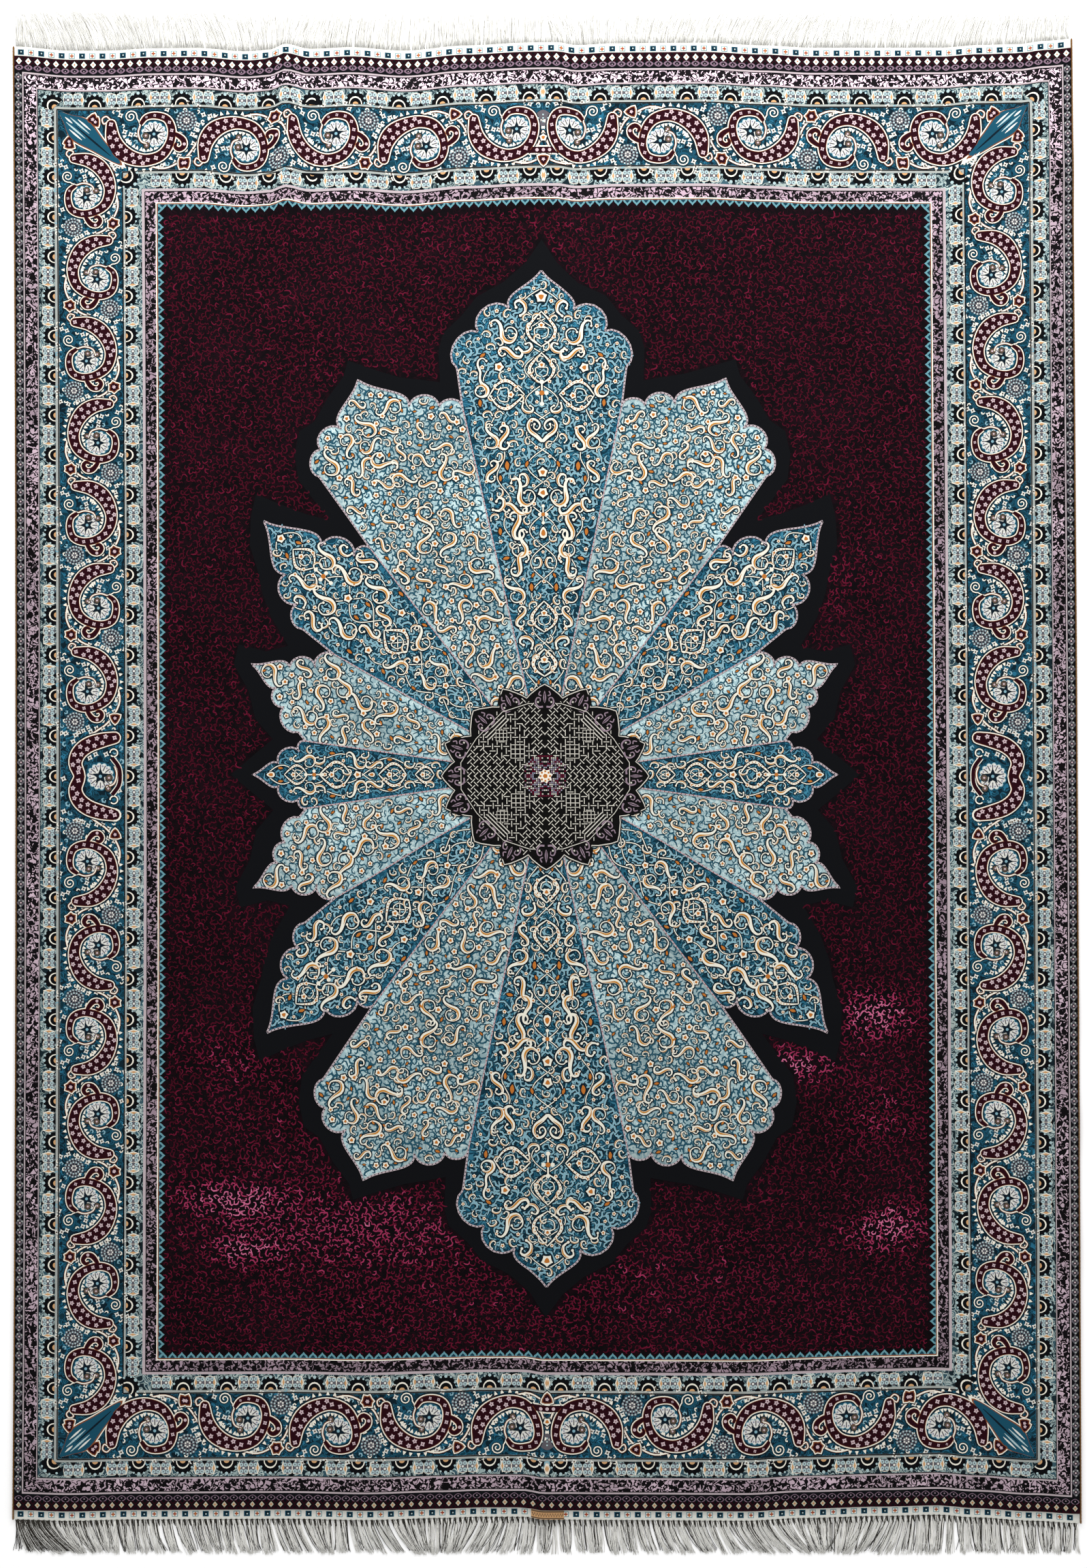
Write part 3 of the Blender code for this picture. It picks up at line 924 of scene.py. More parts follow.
print("scroll motifs:", sum(len(s.faces) for s in HOOK), "triangles in a hook")

# %% The arabesque of the deep petals
MOTIFS = {"hook": HOOK, "long hook": LONG_HOOK, "ess": ESS, "curl": CURL, "bud": BUD, "brown": BROWN_BUD,
          "flower": FLOWER, "cross": CROSS, "ogive": ogive(17.5, 22), "small ogive": ogive(14, 17),
          "wide ogive": ogive(20, 25), "heart": HEART}
Spray = namedtuple("Spray", "motif aside out turn size flip", defaults=(1.0, 1))
# Each petal's sprays, from its tip down to the star. aside 0 is on the axis and isn't mirrored.
NORTH_SPRAYS = (
    ("flower", 0, 682, 0, 1.35), ("curl", 29, 668, 60, 1.25), ("wide ogive", 0, 636, 0),
    ("hook", 55, 633, 20, 0.95), ("curl", 22, 609, 150, 1.1), ("ess", 44, 603, -22),
    ("long hook", 84, 568, 98, 0.92, -1), ("flower", 61, 583, 20, 1.1), ("ogive", 0, 580, 0),
    ("wide ogive", 50, 543, 90), ("cross", 0, 545, 0, 1.3), ("brown", 88, 532, 0, 1.3),
    ("brown", 84, 600, 60, 1.1), ("curl", 21, 523, 200), ("heart", 0, 492, 0), ("ess", 55, 482, 62),
    ("hook", 72, 484, 100, 0.8, -1), ("brown", 50, 442, 0, 1.6), ("brown", 22, 444, 20, 1.1),
    ("flower", 0, 432, 0, 1.15), ("ess", 72, 434, 76, 0.9), ("brown", 60, 424, 0, 1.1),
    ("curl", 27, 421, 80, 1.1), ("hook", 31, 403, 35), ("flower", 0, 403, 36, 1.2),
    ("ess", 40, 380, -20), ("curl", 62, 386, 110, 1.2), ("cross", 0, 372, 0), ("bud", 0, 346, 0, 1.5),
    ("ess", 38, 356, 50, 1.15), ("hook", 30, 330, 120, 0.9, -1), ("brown", 61, 348, 0, 1.3),
    ("brown", 53, 309, 80, 1.2), ("ess", 34, 301, -30, 1.05, -1), ("curl", 8, 303, 90, 0.9),
    ("brown", 17, 268, 0, 1.4), ("hook", 41, 264, 75, 0.85, -1), ("brown", 15, 285, 30, 0.9),
    ("ogive", 0, 226, 0), ("ess", 33, 226, 70, 0.85), ("curl", 25, 190, 20, 1.2),
    ("small ogive", 0, 160, 0, 1.15), ("curl", 26, 158, 90, 0.8), ("brown", 8, 132, 0, 0.8),
)
THIRD_SPRAYS = (
    ("flower", 0, 505, 0), ("brown", 12, 482, 30, 1.1), ("ogive", 0, 462, 0, 0.9),
    ("hook", 25, 440, 40, 0.9), ("curl", 48, 425, 80, 1.1), ("cross", 0, 424, 0, 1.2),
    ("hook", 24, 400, 130, 1.0, -1), ("ess", 58, 392, 70, 0.95), ("flower", 0, 377, 0),
    ("hook", 38, 354, 60, 0.95), ("brown", 12, 350, 0, 1.1), ("ess", 15, 322, 40, 0.9),
    ("brown", 55, 325, 0, 1.1), ("bud", 0, 340, 0, 1.1), ("flower", 36, 306, 0, 0.9),
    ("ogive", 0, 286, 0), ("hook", 26, 262, 80, 0.8, -1), ("brown", 44, 270, 20),
    ("flower", 0, 246, 0, 0.9), ("hook", 15, 216, 60, 0.75), ("brown", 33, 222, 0, 0.9),
    ("flower", 0, 190, 0, 0.8), ("curl", 17, 178, 60, 0.8), ("bud", 0, 162, 0, 0.8),
)
EAST_SPRAYS = (
    ("bud", 0, 392, 0, 1.1), ("brown", 9, 378, 0, 0.9), ("ogive", 0, 356, 0, 0.75),
    ("hook", 22, 343, 60, 0.7), ("cross", 0, 330, 0), ("curl", 20, 322, 90, 0.9),
    ("wide ogive", 0, 300, 0, 0.9), ("brown", 30, 304, 0), ("hook", 20, 270, 75, 0.7, -1),
    ("flower", 0, 268, 0, 0.9), ("ess", 14, 244, 60, 0.7), ("bud", 0, 248, 0, 0.9),
    ("ogive", 0, 218, 0, 0.9), ("brown", 21, 222, 0, 0.9), ("curl", 14, 194, 70, 0.8),
    ("small ogive", 0, 172, 0, 0.8),
)


def sprayed(rows, turn):
    """The sprays of a petal and their mirror images, turned to its axis, and the places they take."""
    made, taken = [], []
    for row in (Spray(*row) for row in rows):
        places = [row[1:]]
        if row.aside:
            places.append((-row.aside, row.out, 180 - row.turn, row.size, -row.flip))
        made += copies(MOTIFS[row.motif], places)
        taken += [place[:2] for place in places]
    return moved(made, (0, 0), -turn), np.array(taken) @ turning(-turn)


# Each vine repeats along the petal after so many mm
INNER_REPEAT, OUTER_REPEAT = 92, 68


def vines(turn, start, end, spread, swing, chain):
    """Thin vines up a petal: a pair that crosses and recrosses on its axis, and one near each side."""
    out = np.linspace(start, end, round((end - start) / 5))
    crossing = np.sin((end - out) * 2 * math.pi / INNER_REPEAT) * chain * (0.45 + 0.55 * out / end)
    outer = out * spread + swing * np.sin(out * 2 * math.pi / OUTER_REPEAT)
    pair = []
    for path in (np.stack((crossing, out), 1), np.stack((outer, out), 1)[out < 0.84 * end]):
        pair += copies(strands(path, (3.6, "navy", 0.3), (1.3, "scroll", 0.65)), BOTH_SIDES)
    return moved(pair, (0, 0), -turn)


# %% Strewn scrolls of the pale petals
def strewn(outline, gap, chance, margin, taken=None):
    """Places spread evenly but by chance inside an outline, clear of its edge and of those taken."""
    low, high = outline.min(0), outline.max(0)
    edge = spaced(outline, 4.0, closed=True)[0]
    found = np.empty((0, 2)) if taken is None else taken
    start = len(found)
    tries = chance.uniform(low, high, (int(np.prod(high - low) / gap ** 2 * 14), 2))
    tries = tries[inside(tries, outline)]
    tries = tries[away(tries, edge) > margin]
    for place in tries:
        if not len(found) or np.hypot(*(found - place).T).min() > gap:
            found = np.concatenate((found, place[None]))
    return found[start:]


def with_chance(motif, places, chance, sizes):
    """A motif at some places, each turned and sized by chance."""
    count = len(places)
    turns, flips = chance.uniform(0, 360, count), chance.choice((-1, 1), count)
    return copies(motif, rows_at(places, turns, chance.uniform(*sizes, count), flips))


def pale_petal(key, seed):
    """Scrolls strewn over a pale petal."""
    chance = np.random.default_rng(seed)
    big = strewn(PETALS[key], 29.0, chance, 14.0)
    kinds = np.arange(len(big)) % 3
    made = with_chance(SMALL_HOOK, big[kinds != 1], chance, (0.68, 0.9))
    made += with_chance(ESS, big[kinds == 1], chance, (0.65, 0.85))
    small = strewn(PETALS[key], 12.8, chance, 7.0, taken=big)
    fills = (FLOWER, (0.55, 0.85)), (CURL, (0.5, 0.7)), (BROWN_BUD, (0.55, 0.9))
    for kind, (motif, sizes) in enumerate(fills):
        made += with_chance(motif, small[kind::3], chance, sizes)
    return made


DeepPetal = namedtuple("DeepPetal", "sprays seed vines")
# A row of vines says, in mm: from, to, the outer vine's share of the way out, its swing, the inner pair's
DEEP_PETALS = {
    "north": DeepPetal(NORTH_SPRAYS, 21, (120, 694, 0.135, 8, 27)),
    "third": DeepPetal(THIRD_SPRAYS, 22, (130, 512, 0.125, 7, 22)),
    "east": DeepPetal(EAST_SPRAYS, 23, (160, 398, 0.085, 5, 14)),
}
drawn = {}
for key, row in DEEP_PETALS.items():
    chance, turn = np.random.default_rng(row.seed), PETAL_KINDS[key].turn
    sprays, taken = sprayed(row.sprays, turn)
    spare = strewn(PETALS[key], 14.0, chance, 7.0, taken=taken)
    drawn[key] = vines(turn, *row.vines) + sprays
    drawn[key] += with_chance(CURL, spare[::2], chance, (0.5, 0.75))
    drawn[key] += with_chance(FLOWER, spare[1::2], chance, (0.4, 0.55))
drawn["second"], drawn["fourth"] = pale_petal("second", 11), pale_petal("fourth", 12)
for key, shapes in drawn.items():
    shapes = copies(lifted(shapes, 4), PETAL_KINDS[key].mirrors)
    lay_down(f"arabesque_{key}", moved(shapes, MEDALLION_MIDDLE))

# %% The small curls between the scrolls
CURLS = (
    ((-4.5, -1), (-3.6, 3), (0.6, 4.4), (4.2, 1), (1, -2.2)),
    ((-5, -3), (-1, -3.4), (0, 1.6), (3, 4), (5, 1.6)),
    ((-5, 0), (-2, 3.2), (2, 2.4), (4.8, -1.6), (6.2, -6)),
    ((-3, -5), (0.6, -2), (0.6, 2), (-2.8, 3.8), (-3, 1)),
    ((-4, -4), (-2.6, 2), (0, 3.2), (3, 4.2), (4, -3)),
)
CURL_TAPER = np.array((0.5, 1.0, 1.15, 1.0, 0.5))
CURL_MARGIN = 4.0  # mm that stay clear along a petal's edge


def curl_field(outline, gap, seed, dyes):
    """Small curls all over an outline. dyes has a row of (width in mm, silk, layer) for each stroke."""
    chance = np.random.default_rng(seed)
    low, high = outline.min(0), outline.max(0)
    cells = np.stack(np.meshgrid(np.arange(low[0], high[0], gap), np.arange(low[1], high[1], gap * 0.88)), -1)
    cells[1::2, :, 0] += gap / 2
    places = cells.reshape(-1, 2) + chance.uniform(-0.22, 0.22, (cells.size // 2, 2)) * gap
    places = places[inside(places, outline)]
    places = places[away(places, spaced(outline, 3.0, closed=True)[0]) > CURL_MARGIN]
    count = len(places)
    kinds = chance.integers(0, len(CURLS), count)
    rows = rows_at(places, chance.uniform(0, 360, count), chance.uniform(0.85, 1.15, count),
                   chance.choice((-1, 1), count))
    made = []
    for kind, curl in enumerate(CURLS):
        layers = [(CURL_TAPER * wide, key, level) for wide, key, level in dyes]
        made += copies(strands(np.array(curl) * gap / 9, *layers), rows[kinds == kind])
    return made


DEEP_CURL = (5.2, "navy", 3), (2.6, "leaf", 4)
FILLS = {
    "north": (9.8, DEEP_CURL), "second": (8.2, ((2.2, "pale_stroke", 3),)), "third": (9.8, DEEP_CURL),
    "fourth": (9.2, ((1.8, "pale_stroke", 3),)), "east": (9.8, ((5.2, "navy", 3), (2.4, "blue", 4))),
}
for seed, (key, outline) in enumerate(PETALS.items(), 61):
    gap, dyes = FILLS[key]
    fill = copies(curl_field(outline, gap, seed, dyes), PETAL_KINDS[key].mirrors)
    lay_down(f"small_curls_{key}", moved(fill, MEDALLION_MIDDLE))

# %% Outlines and rays of the petals
lines = []
for key, outer in OUTER_EDGES.items():
    drawn_edge, ticks = spaced(outer, 4.0)[0], spaced(outer, 5.2)[0]
    line = [ribbons(drawn_edge, 2.5, "pink", 7), dots(ticks, 1.0, "wine_deep", 8, sides=4)]
    lines += copies(line, PETAL_KINDS[key].mirrors)
for key in ("north", "second_right", "third_right", "fourth_right"):
    row = PETAL_SIDES[key]
    ray = polar(row.ray, np.linspace(UNDER_STAR, row.joins, 40))
    beads = spaced(ray, 6.0)[0]
    lines += copies([ribbons(ray, 1.8, "pink", 7), dots(beads, 0.9, "red", 8, sides=4)], QUARTERS)
lay_down("petal_lines", moved(lines, MEDALLION_MIDDLE))

# %% [markdown]
# ## The star
#
# A sixteen-pointed star of black silk with a net of pale lines stands in the middle. The net is a
# woven mat of short strokes, slanting toward the four axes and square between them, with some
# places left open. A leaf and two scrolls fill each point.

# %% Star ground and net
# Rows of (degrees, mm): points and the notches between them
STAR_EDGE = np.array((
    (0.0, 131), (13.0, 114), (25.7, 138), (33.5, 118), (47.7, 138), (61.6, 120), (72.0, 150), (81.0, 131),
    (90.0, 148),
))
star_ends = polar(STAR_EDGE[:, 0], STAR_EDGE[:, 1])
star_quarter = [lobe(a, b, 0.05, 4)[:-1] for a, b in zip(star_ends, star_ends[1:])]
star_edge = all_round(np.concatenate((*star_quarter, star_ends[-1:])))
flat_patch("star", star_edge + STAR_MIDDLE, "star_black", FACE + 9 * LAYER)

edge_path = np.concatenate((star_edge, star_edge[:2]))
shapes = strands(edge_path, (4.2, "black", 9), (1.4, "star_line", 10))

# The mat: short strokes, each across the next, on a square grid and on the same one turned by 45
# degrees. One quarter is laid, and mirrors make the rest.
CELL = 6.5
MAT_FROM, MAT_TO = 28, 113  # mm from the middle
SLANT_FROM = 21  # degrees away from the quarter's middle, past which the mat slants
steps = np.arange(-18, 18)
columns, ranks = (part.ravel() for part in np.meshgrid(steps, steps))
closed = (columns % 4 != ranks % 4) | (columns % 2 == 0)  # the rest stay open, as black squares
grid = (np.stack((columns, ranks), 1)[closed] + 0.5) * CELL
across_turns = 90.0 * ((columns + ranks)[closed] % 2)
slanted = np.stack((grid[:, 0] - grid[:, 1], grid[:, 0] + grid[:, 1]), 1) / math.sqrt(2) + CELL * 0.35
stroke = [ribbons(((-4.2, 0), (4.2, 0)), 1.15, "star_line", 9)]
for tilt, cells in ((0, grid), (45, slanted)):
    bearing, out = np.degrees(np.arctan2(cells[:, 1], cells[:, 0])), np.hypot(*cells.T)
    chosen = (cells > 2).all(1) & (out < MAT_TO) & (out > MAT_FROM)
    chosen &= (np.abs(bearing - 45) > SLANT_FROM) == (tilt > 0)
    shapes += copies(copies(stroke, rows_at(cells, tilt + across_turns)[chosen]), QUARTERS)
# Short bars across the four corners, and a line that parts the points from the net
bars = [ribbons(((-19, 0), (19, 0)), 13.0, "star_black", 10)]
bars += [ribbons(((-20, y), (20, y)), 1.5, "star_line", 11) for y in (-4.5, 0, 4.5)]
shapes += copies(moved(bars, polar(45, 98), -45), QUARTERS)
notches = star_ends[1::2] * 0.93
RIM_LINE = (4.4, "star_black", 11), (1.0, "star_line", 12)
shapes += copies(strands(np.concatenate((notches, notches[::-1] * (1, -1))), *RIM_LINE), BOTH_SIDES)
shapes += copies(strands(np.stack((notches[0] * (-1, 1), notches[0])), *RIM_LINE), HEAD_AND_FOOT)
# Small knots between the axes: nested crosses
knot = [dots((0, 0), 12.8, "star_black", 13, sides=4), dots((0, 0), 14.2, "star_line", 12, sides=4)]
knot += [ribbons(((-9, y), (9, y)), 1.1, "star_line", 14) for y in (-3.4, 3.4)]
knot += [ribbons(((x, -9), (x, 9)), 1.1, "star_line", 14) for x in (-3.4, 3.4)]
shapes += copies(copies(knot, ((39, 35, 0, 1, 1), (62, 58, 0, 0.8, 1))), QUARTERS)
print("net:", sum(len(s.faces) for s in shapes), "triangles")

# %% Points and middle of the star
leaf = smooth(((0, -8), (2.0, -2), (1.8, 3), (0, 10), (-1.8, 3), (-2.0, -2)), 2, closed=True)
low_curl = smooth(((2.5, -13), (9, -13), (13, -7), (11, -0.5), (6.4, -1), (6.6, -5.4)), 3)
high_curl = smooth(((4.6, 2.6), (8.4, 4.6), (6.2, 9.2)), 3)
point_fill = [dots((0, -2), 16.5, "star_black", 11, sides=8, rings=2), patches(leaf, "star_mauve", 12),
              ribbons(((0, -6), (0, 6)), 1.0, "black", 13)]
point_fill += copies([ribbons(low_curl, np.linspace(2.6, 1.2, len(low_curl)), "star_mauve", 12),
                      ribbons(high_curl, 1.6, "star_mauve", 12),
                      dots((9.6, -6.4), 1.7, "star_line", 12, sides=4)], BOTH_SIDES)
for angle, out in STAR_EDGE[::2]:
    flips = {0: HEAD_AND_FOOT, 90: BOTH_SIDES}.get(angle, QUARTERS)
    shapes += copies(moved(point_fill, polar(angle, out - 19), -angle), flips)

# The speckled middle round an eight-petalled flower
SPECK = 2.7
octagon = all_round(polar(np.arange(0.0, 91.0, 45.0), 33.0))
shapes.append(patches(octagon, "star_black", 13, rings=3))
specks = np.stack(np.meshgrid(*[np.arange(SPECK / 2, 34, SPECK)] * 2), -1).reshape(-1, 2)
specks = specks[(specks.sum(1) < 44) & (specks.max(1) < 31) & (np.hypot(*specks.T) > 10)]
kinds = np.random.default_rng(72).integers(0, 5, len(specks))
for kind, key in enumerate(("star_mauve", "wine_light", "star_line", "lavender")):
    shapes += copies([dots(specks[kinds == kind], 1.35, key, 14, sides=4)], QUARTERS)
shapes += lifted(blossoms((0, 0), 11.0, 8, "cream", "orange", per=3), 13)
shapes.append(dots(polar(np.arange(8) * 45, 6.8), 1.8, "orange", 15, sides=4))
lay_down("star_net", lifted(moved(shapes, STAR_MIDDLE), 1))

# %% [markdown]
# ## The field's curls
#
# The wine field is black silk strewn with thousands of wine curls and hooks, about one to every
# eight millimetres. The pile leans, so in places it shines: there the curls take lighter wines, a
# painted sheen as it looks from above. Each patch of sheen is a row of a table.

# %% Where the pile shines
# Across and along in mm, half-widths of the patch, strength
Shine = namedtuple("Shine", "across along half_across half_along strength")
SHINES = (
    Shine(467, -338, 55, 34, 1.0), Shine(339, -405, 70, 26, 0.9), Shine(-456, -595, 70, 26, 0.9),
    Shine(-433, -662, 52, 26, 0.7), Shine(484, -640, 55, 32, 0.9), Shine(-265, -629, 150, 60, 0.45),
    Shine(-456, -394, 60, 40, 0.35), Shine(383, 289, 70, 40, 0.35), Shine(0, -720, 520, 120, 0.25),
    Shine(470, -480, 60, 60, 0.4), Shine(-380, -500, 150, 90, 0.2),
)


def shine_at(places):
    """How much the pile shines at some places, from 0 to about 1."""
    total = np.zeros(len(places))
    for row in SHINES:
        aside = (places[:, 0] - row.across) / row.half_across
        ahead = (places[:, 1] - row.along) / row.half_along
        total += row.strength * np.exp(-aside ** 2 - ahead ** 2)
    return total


# %% Knot the curls in four wines, the three lighter ones a painted sheen
CURL_GAP = 8.4
# Plain wine, then three lighter wines of painted sheen for curls where the pile shines more
SHEEN_WINES = ("wine", "wine_light", "wine_bright", "wine_sheen")
chance = np.random.default_rng(31)
grid = np.stack(np.meshgrid(np.arange(-FIELD_ACROSS + 12, FIELD_ACROSS - 12, CURL_GAP),
                            np.arange(-FIELD_ALONG + 12, FIELD_ALONG - 12, CURL_GAP * 0.88)), -1)
grid[1::2, :, 0] += CURL_GAP / 2
grid = grid.reshape(-1, 2) + chance.uniform(-2.4, 2.4, (grid.size // 2, 2))
grid = grid[~inside(grid, halo_outline * 1.006 + MEDALLION_MIDDLE)]
# Painted sheen: each curl's wine is lighter the more the pile shines at its place
shine = shine_at(grid) + chance.normal(0, 0.10, len(grid))
dyes = np.select((shine > 0.75, shine > 0.42, shine > 0.14), (3, 2, 1), 0)
kinds = chance.integers(0, len(CURLS), len(grid))
rows = rows_at(grid, chance.uniform(0, 360, len(grid)), chance.uniform(0.55, 0.85, len(grid)),
               chance.choice((-1, 1), len(grid)))
for half, keep in (("right", grid[:, 0] >= 0), ("left", grid[:, 0] < 0)):
    shapes = []
    for kind, curl in enumerate(CURLS):
        for dye, key in enumerate(SHEEN_WINES):
            chosen = keep & (kinds == kind) & (dyes == dye)
            if chosen.any():
                shapes += copies([ribbons(curl, CURL_TAPER * 2.4, key, 1)], rows[chosen])
    lay_down(f"field_curls_{half}", shapes)

# %% [markdown]
# ## The main border
#
# The wide teal border carries a row of big burgundy commas, each curled round a white palmette and
# passing in turn on the field's side and on the outer side, with a cream vine that weaves between
# them. One unit is drawn in its own frame: x runs from the corner toward the middle of the border,
# and y outward. The rug's quarter is a table of units, and mirrors make the rest.

# %% One comma with its palmette
U = 0.972  # mm to one step of the unit's cartoon
# Rows of (x, y, half width)
COMMA = U * np.array((
    (-65, 18, 6.0), (-62, -5, 9.5), (-51, -23, 10.5), (-33, -34.6, 9), (-13, -38.5, 7.5), (7.7, -32, 6.5),
    (20.5, -15.4, 5.5), (24.4, 5, 5), (18, 21.8, 4.5), (2.6, 27.7, 4), (-12.8, 25.6, 3.2), (-21.8, 15.4, 2.0),
))
VINE = U * np.array(((-70, -12), (-46, -42), (-13, -47), (13, -51), (36, -41), (51, -28)))
comma_rows = smooth(COMMA, 4)
comma_path, comma_half = comma_rows[:, :2], comma_rows[:, 2]
FLOWER_GAP, FLOWER_SIZE = 12.4, 4.0  # mm from one flower of a band to the next, and their radius
TWO_ROWS = 7.6  # the half width in mm from which a band has two rows of flowers
BAND_LAYERS = ("navy", 3.8), ("cream", 2.2), ("rust", 0.7), ("burgundy", 0.0)  # and mm beyond its half width


def pink_flowers(places, radius, petals):
    """Lobed flowers, of one size or with one for each."""
    sizes = np.broadcast_to(radius, len(places))[:, None, None]
    return patches(places[:, None] + lobed(1.0, petals, 0.6, turn=0.35) * sizes, "rose", 6)


def dot_flowers(path, half):
    """Pink flowers down a band: one row where it is narrow, and two staggered rows where it is wide."""
    places, ahead = spaced(path, FLOWER_GAP)
    leg = np.linalg.norm(np.diff(path, axis=0), axis=1)
    passed = np.concatenate(([0], np.cumsum(leg)))
    wide = np.interp(np.linspace(0, passed[-1], len(places)), passed, half)
    aside = np.stack((-ahead[:, 1], ahead[:, 0]), 1) * (wide * 0.48)[:, None]
    double = wide > TWO_ROWS
    single = places[~double]
    pairs = np.concatenate((places[double] + aside[double],
                            places[double] - aside[double] + ahead[double] * FLOWER_GAP / 2))
    return [pink_flowers(single, np.minimum(FLOWER_SIZE, wide[~double] * 0.68), 4),
            pink_flowers(pairs, FLOWER_SIZE, 5),
            dots(np.concatenate((single, pairs)), 0.9, "burgundy", 7, sides=4)]


def banded(rows):
    """A burgundy band with a cream outline and a rust line inside it, from rows of (x, y, half width)."""
    path, half = rows[:, :2], rows[:, 2]
    made = []
    for level, (key, extra) in enumerate(BAND_LAYERS, 2):
        made.append(ribbons(path, 2 * (half + extra), key, level))
        made.append(dots(path[:1], half[0] + extra, key, level, sides=12))
    return made


comma = banded(comma_rows) + dot_flowers(comma_path[:-4], comma_half[:-4])
head_curl = U * smooth(((-66, 25), (-72, 30), (-78, 26), (-76, 19), (-71, 21)), 4)
comma += strands(head_curl, (4.6, "navy", 2), (3.2, "rust", 3), (1.6, "cream", 4))

# Cream buds stand along both of its edges
budded = slice(3, 30)
places, ahead = spaced(comma_path[budded], 8.0)
aside = np.stack((-ahead[:, 1], ahead[:, 0]), 1)
stands = np.interp(np.arange(len(places)), np.linspace(0, len(places) - 1, 27), comma_half[budded]) + 6.6
bud_turns = np.degrees(np.arctan2(ahead[:, 1], ahead[:, 0]))
drop = [patches(((-2.5, -1.6), (2.5, -1.6), (1.4, 1.4), (0, 4.0), (-1.4, 1.4)), "cream", 2)]
for facing, turned in ((1, 0), (-1, 180)):
    comma += copies(drop, rows_at(places + aside * (stands * facing)[:, None], bud_turns + turned)[1:])

# The palmette in the comma's curl
rim = lobed(18.5, 14, 0.86, per=4)
palmette = [dots((0, 0), 20.5, "teal", 2, sides=24, rings=2), patches(rim * 1.06, "leaf", 3, rings=2),
            patches(rim, "white", 4, rings=2)]
ribs = np.stack([polar(a, np.linspace(8.5, 16.5, 3)) for a in np.arange(0, 360, 360 / 14)])
palmette += [ribbons(ribs, 1.5, "grey", 5),
             dots(polar(np.arange(14) * 360 / 14 + 13, 14.5), 1.5, "lavender", 5, sides=5)]
star_turn = np.arange(10)
star_rim = polar(star_turn * 36.0, np.where(star_turn % 2, 5.2, 11.6))[::-1]
palmette += [patches(star_rim, "navy", 6), dots((0, 0), 2.4, "leaf", 7, sides=6)]
palmette = moved(palmette, (-2 * U, 0), size=U)
for bx, by in ((-14, -2), (-13, -17)):
    for radius, key, level, sides in ((5.4, "navy", 6, 9), (4.2, "bud", 7, 9), (1.7, "rose", 8, 5)):
        palmette.append(dots(((bx * U, by * U),), radius, key, level, sides=sides))
inner_line = U * smooth(((-22, 14), (-25, 3), (-21, -10), (-10, -15)), 4)
palmette += strands(inner_line, (3.4, "rust", 6), (1.7, "cream", 7))
print("comma:", sum(len(s.faces) for s in comma + palmette), "triangles")

# %% The small things between commas
tab_rows = smooth(U * np.array(((26, 1, 2.5), (33, -2, 3.4), (41, -9, 4.2), (42, -18, 4.0), (35, -23, 3.4),
                                (29, -19, 2.6), (31, -13, 1.6))), 3)
tab = banded(tab_rows * (1, 1, 0.8))
tab.append(dots(tab_rows[8:9, :2], 2.4, "rose", 6, sides=7))

spiral_place = U * np.array((-36, 28))
spiral_turn = np.linspace(0, 1.7 * 2 * np.pi, 22)
spiral = np.stack((np.cos(spiral_turn), np.sin(spiral_turn)), 1) * np.linspace(9.0, 1.4, 22)[:, None]
spiral = np.concatenate((U * smooth(((-22, 12), (-24, 20), (-28, 26)), 3)[:-1], spiral + spiral_place))
blue_spiral = [dots(spiral_place, 11.0, "teal", 2, sides=16),
               *strands(spiral, (3.8, "navy", 3), (1.6, "cream", 4))]

rosette_place = U * np.array((46, 20))
rosette = [patches(lobed(15.5, 9, 0.8, per=4) + rosette_place, "grey", 2)]
for count, out, key in ((6, 3.4, "white"), (9, 6.2, "navy"), (13, 8.8, "light_blue"), (15, 11.2, "navy"),
                        (18, 13.4, "light_blue")):
    rosette.append(dots(polar(np.arange(count) * 360 / count, out) + rosette_place, 1.6, key, 3, sides=4))


def triangle_bud(place, turn, size=1.0):
    """A small three-cornered bud with a pink flower."""
    rim = smooth(((0, 9), (-8, -5), (8, -5)), 3, closed=True)
    layers = (1.42, "navy"), (1.24, "cream"), (1.0, "rust"), (0.78, "burgundy")
    made = [patches(rim * share, key, level) for level, (share, key) in enumerate(layers, 2)]
    return moved([*made, pink_flowers(np.array(((0, -0.5),)), 3.0, 5)], place, turn, size)


vine_buds = triangle_bud(U * np.array((40, -44)), 150) + triangle_bud(U * np.array((-92, 26)), -20)
unit = comma + palmette + blue_spiral
between_units = tab + rosette + vine_buds

# Blossoms and leaves strewn over the teal, clear of the unit's other parts
chance = np.random.default_rng(41)
cell = np.array(((-66, -46), (64, -46), (64, 46), (-66, 46)), float)
free = strewn(cell, 7.4, chance, 0.0)
near_comma = (np.linalg.norm(free[:, None] - comma_path[None], axis=2) - comma_half[None]).min(1)
keep = (near_comma > 5.6) & (np.hypot(free[:, 0] + 2, free[:, 1]) > 24)
for place, clear in ((spiral_place, 13), (rosette_place, 17), (U * np.array((36, -11)), 12)):
    keep &= np.hypot(*(free - place).T) > clear
free = free[keep]
small_leaf, small_curl = (ribbons(CURLS[kind], CURL_TAPER * wide, key, 1)
                          for kind, wide, key in ((0, 3.2, "leaf"), (3, 2.6, "cream")))
leaf_rows = rows_at(free, chance.uniform(0, 360, len(free)), 0.62)[1::2]
blossom = [*blossoms(free[::2], 4.6, 4, "white", "bud"), *copies([small_leaf], leaf_rows[::2]),
           *copies([small_curl], leaf_rows[1::2])]
print(len(free), "blossoms and leaves to a unit")

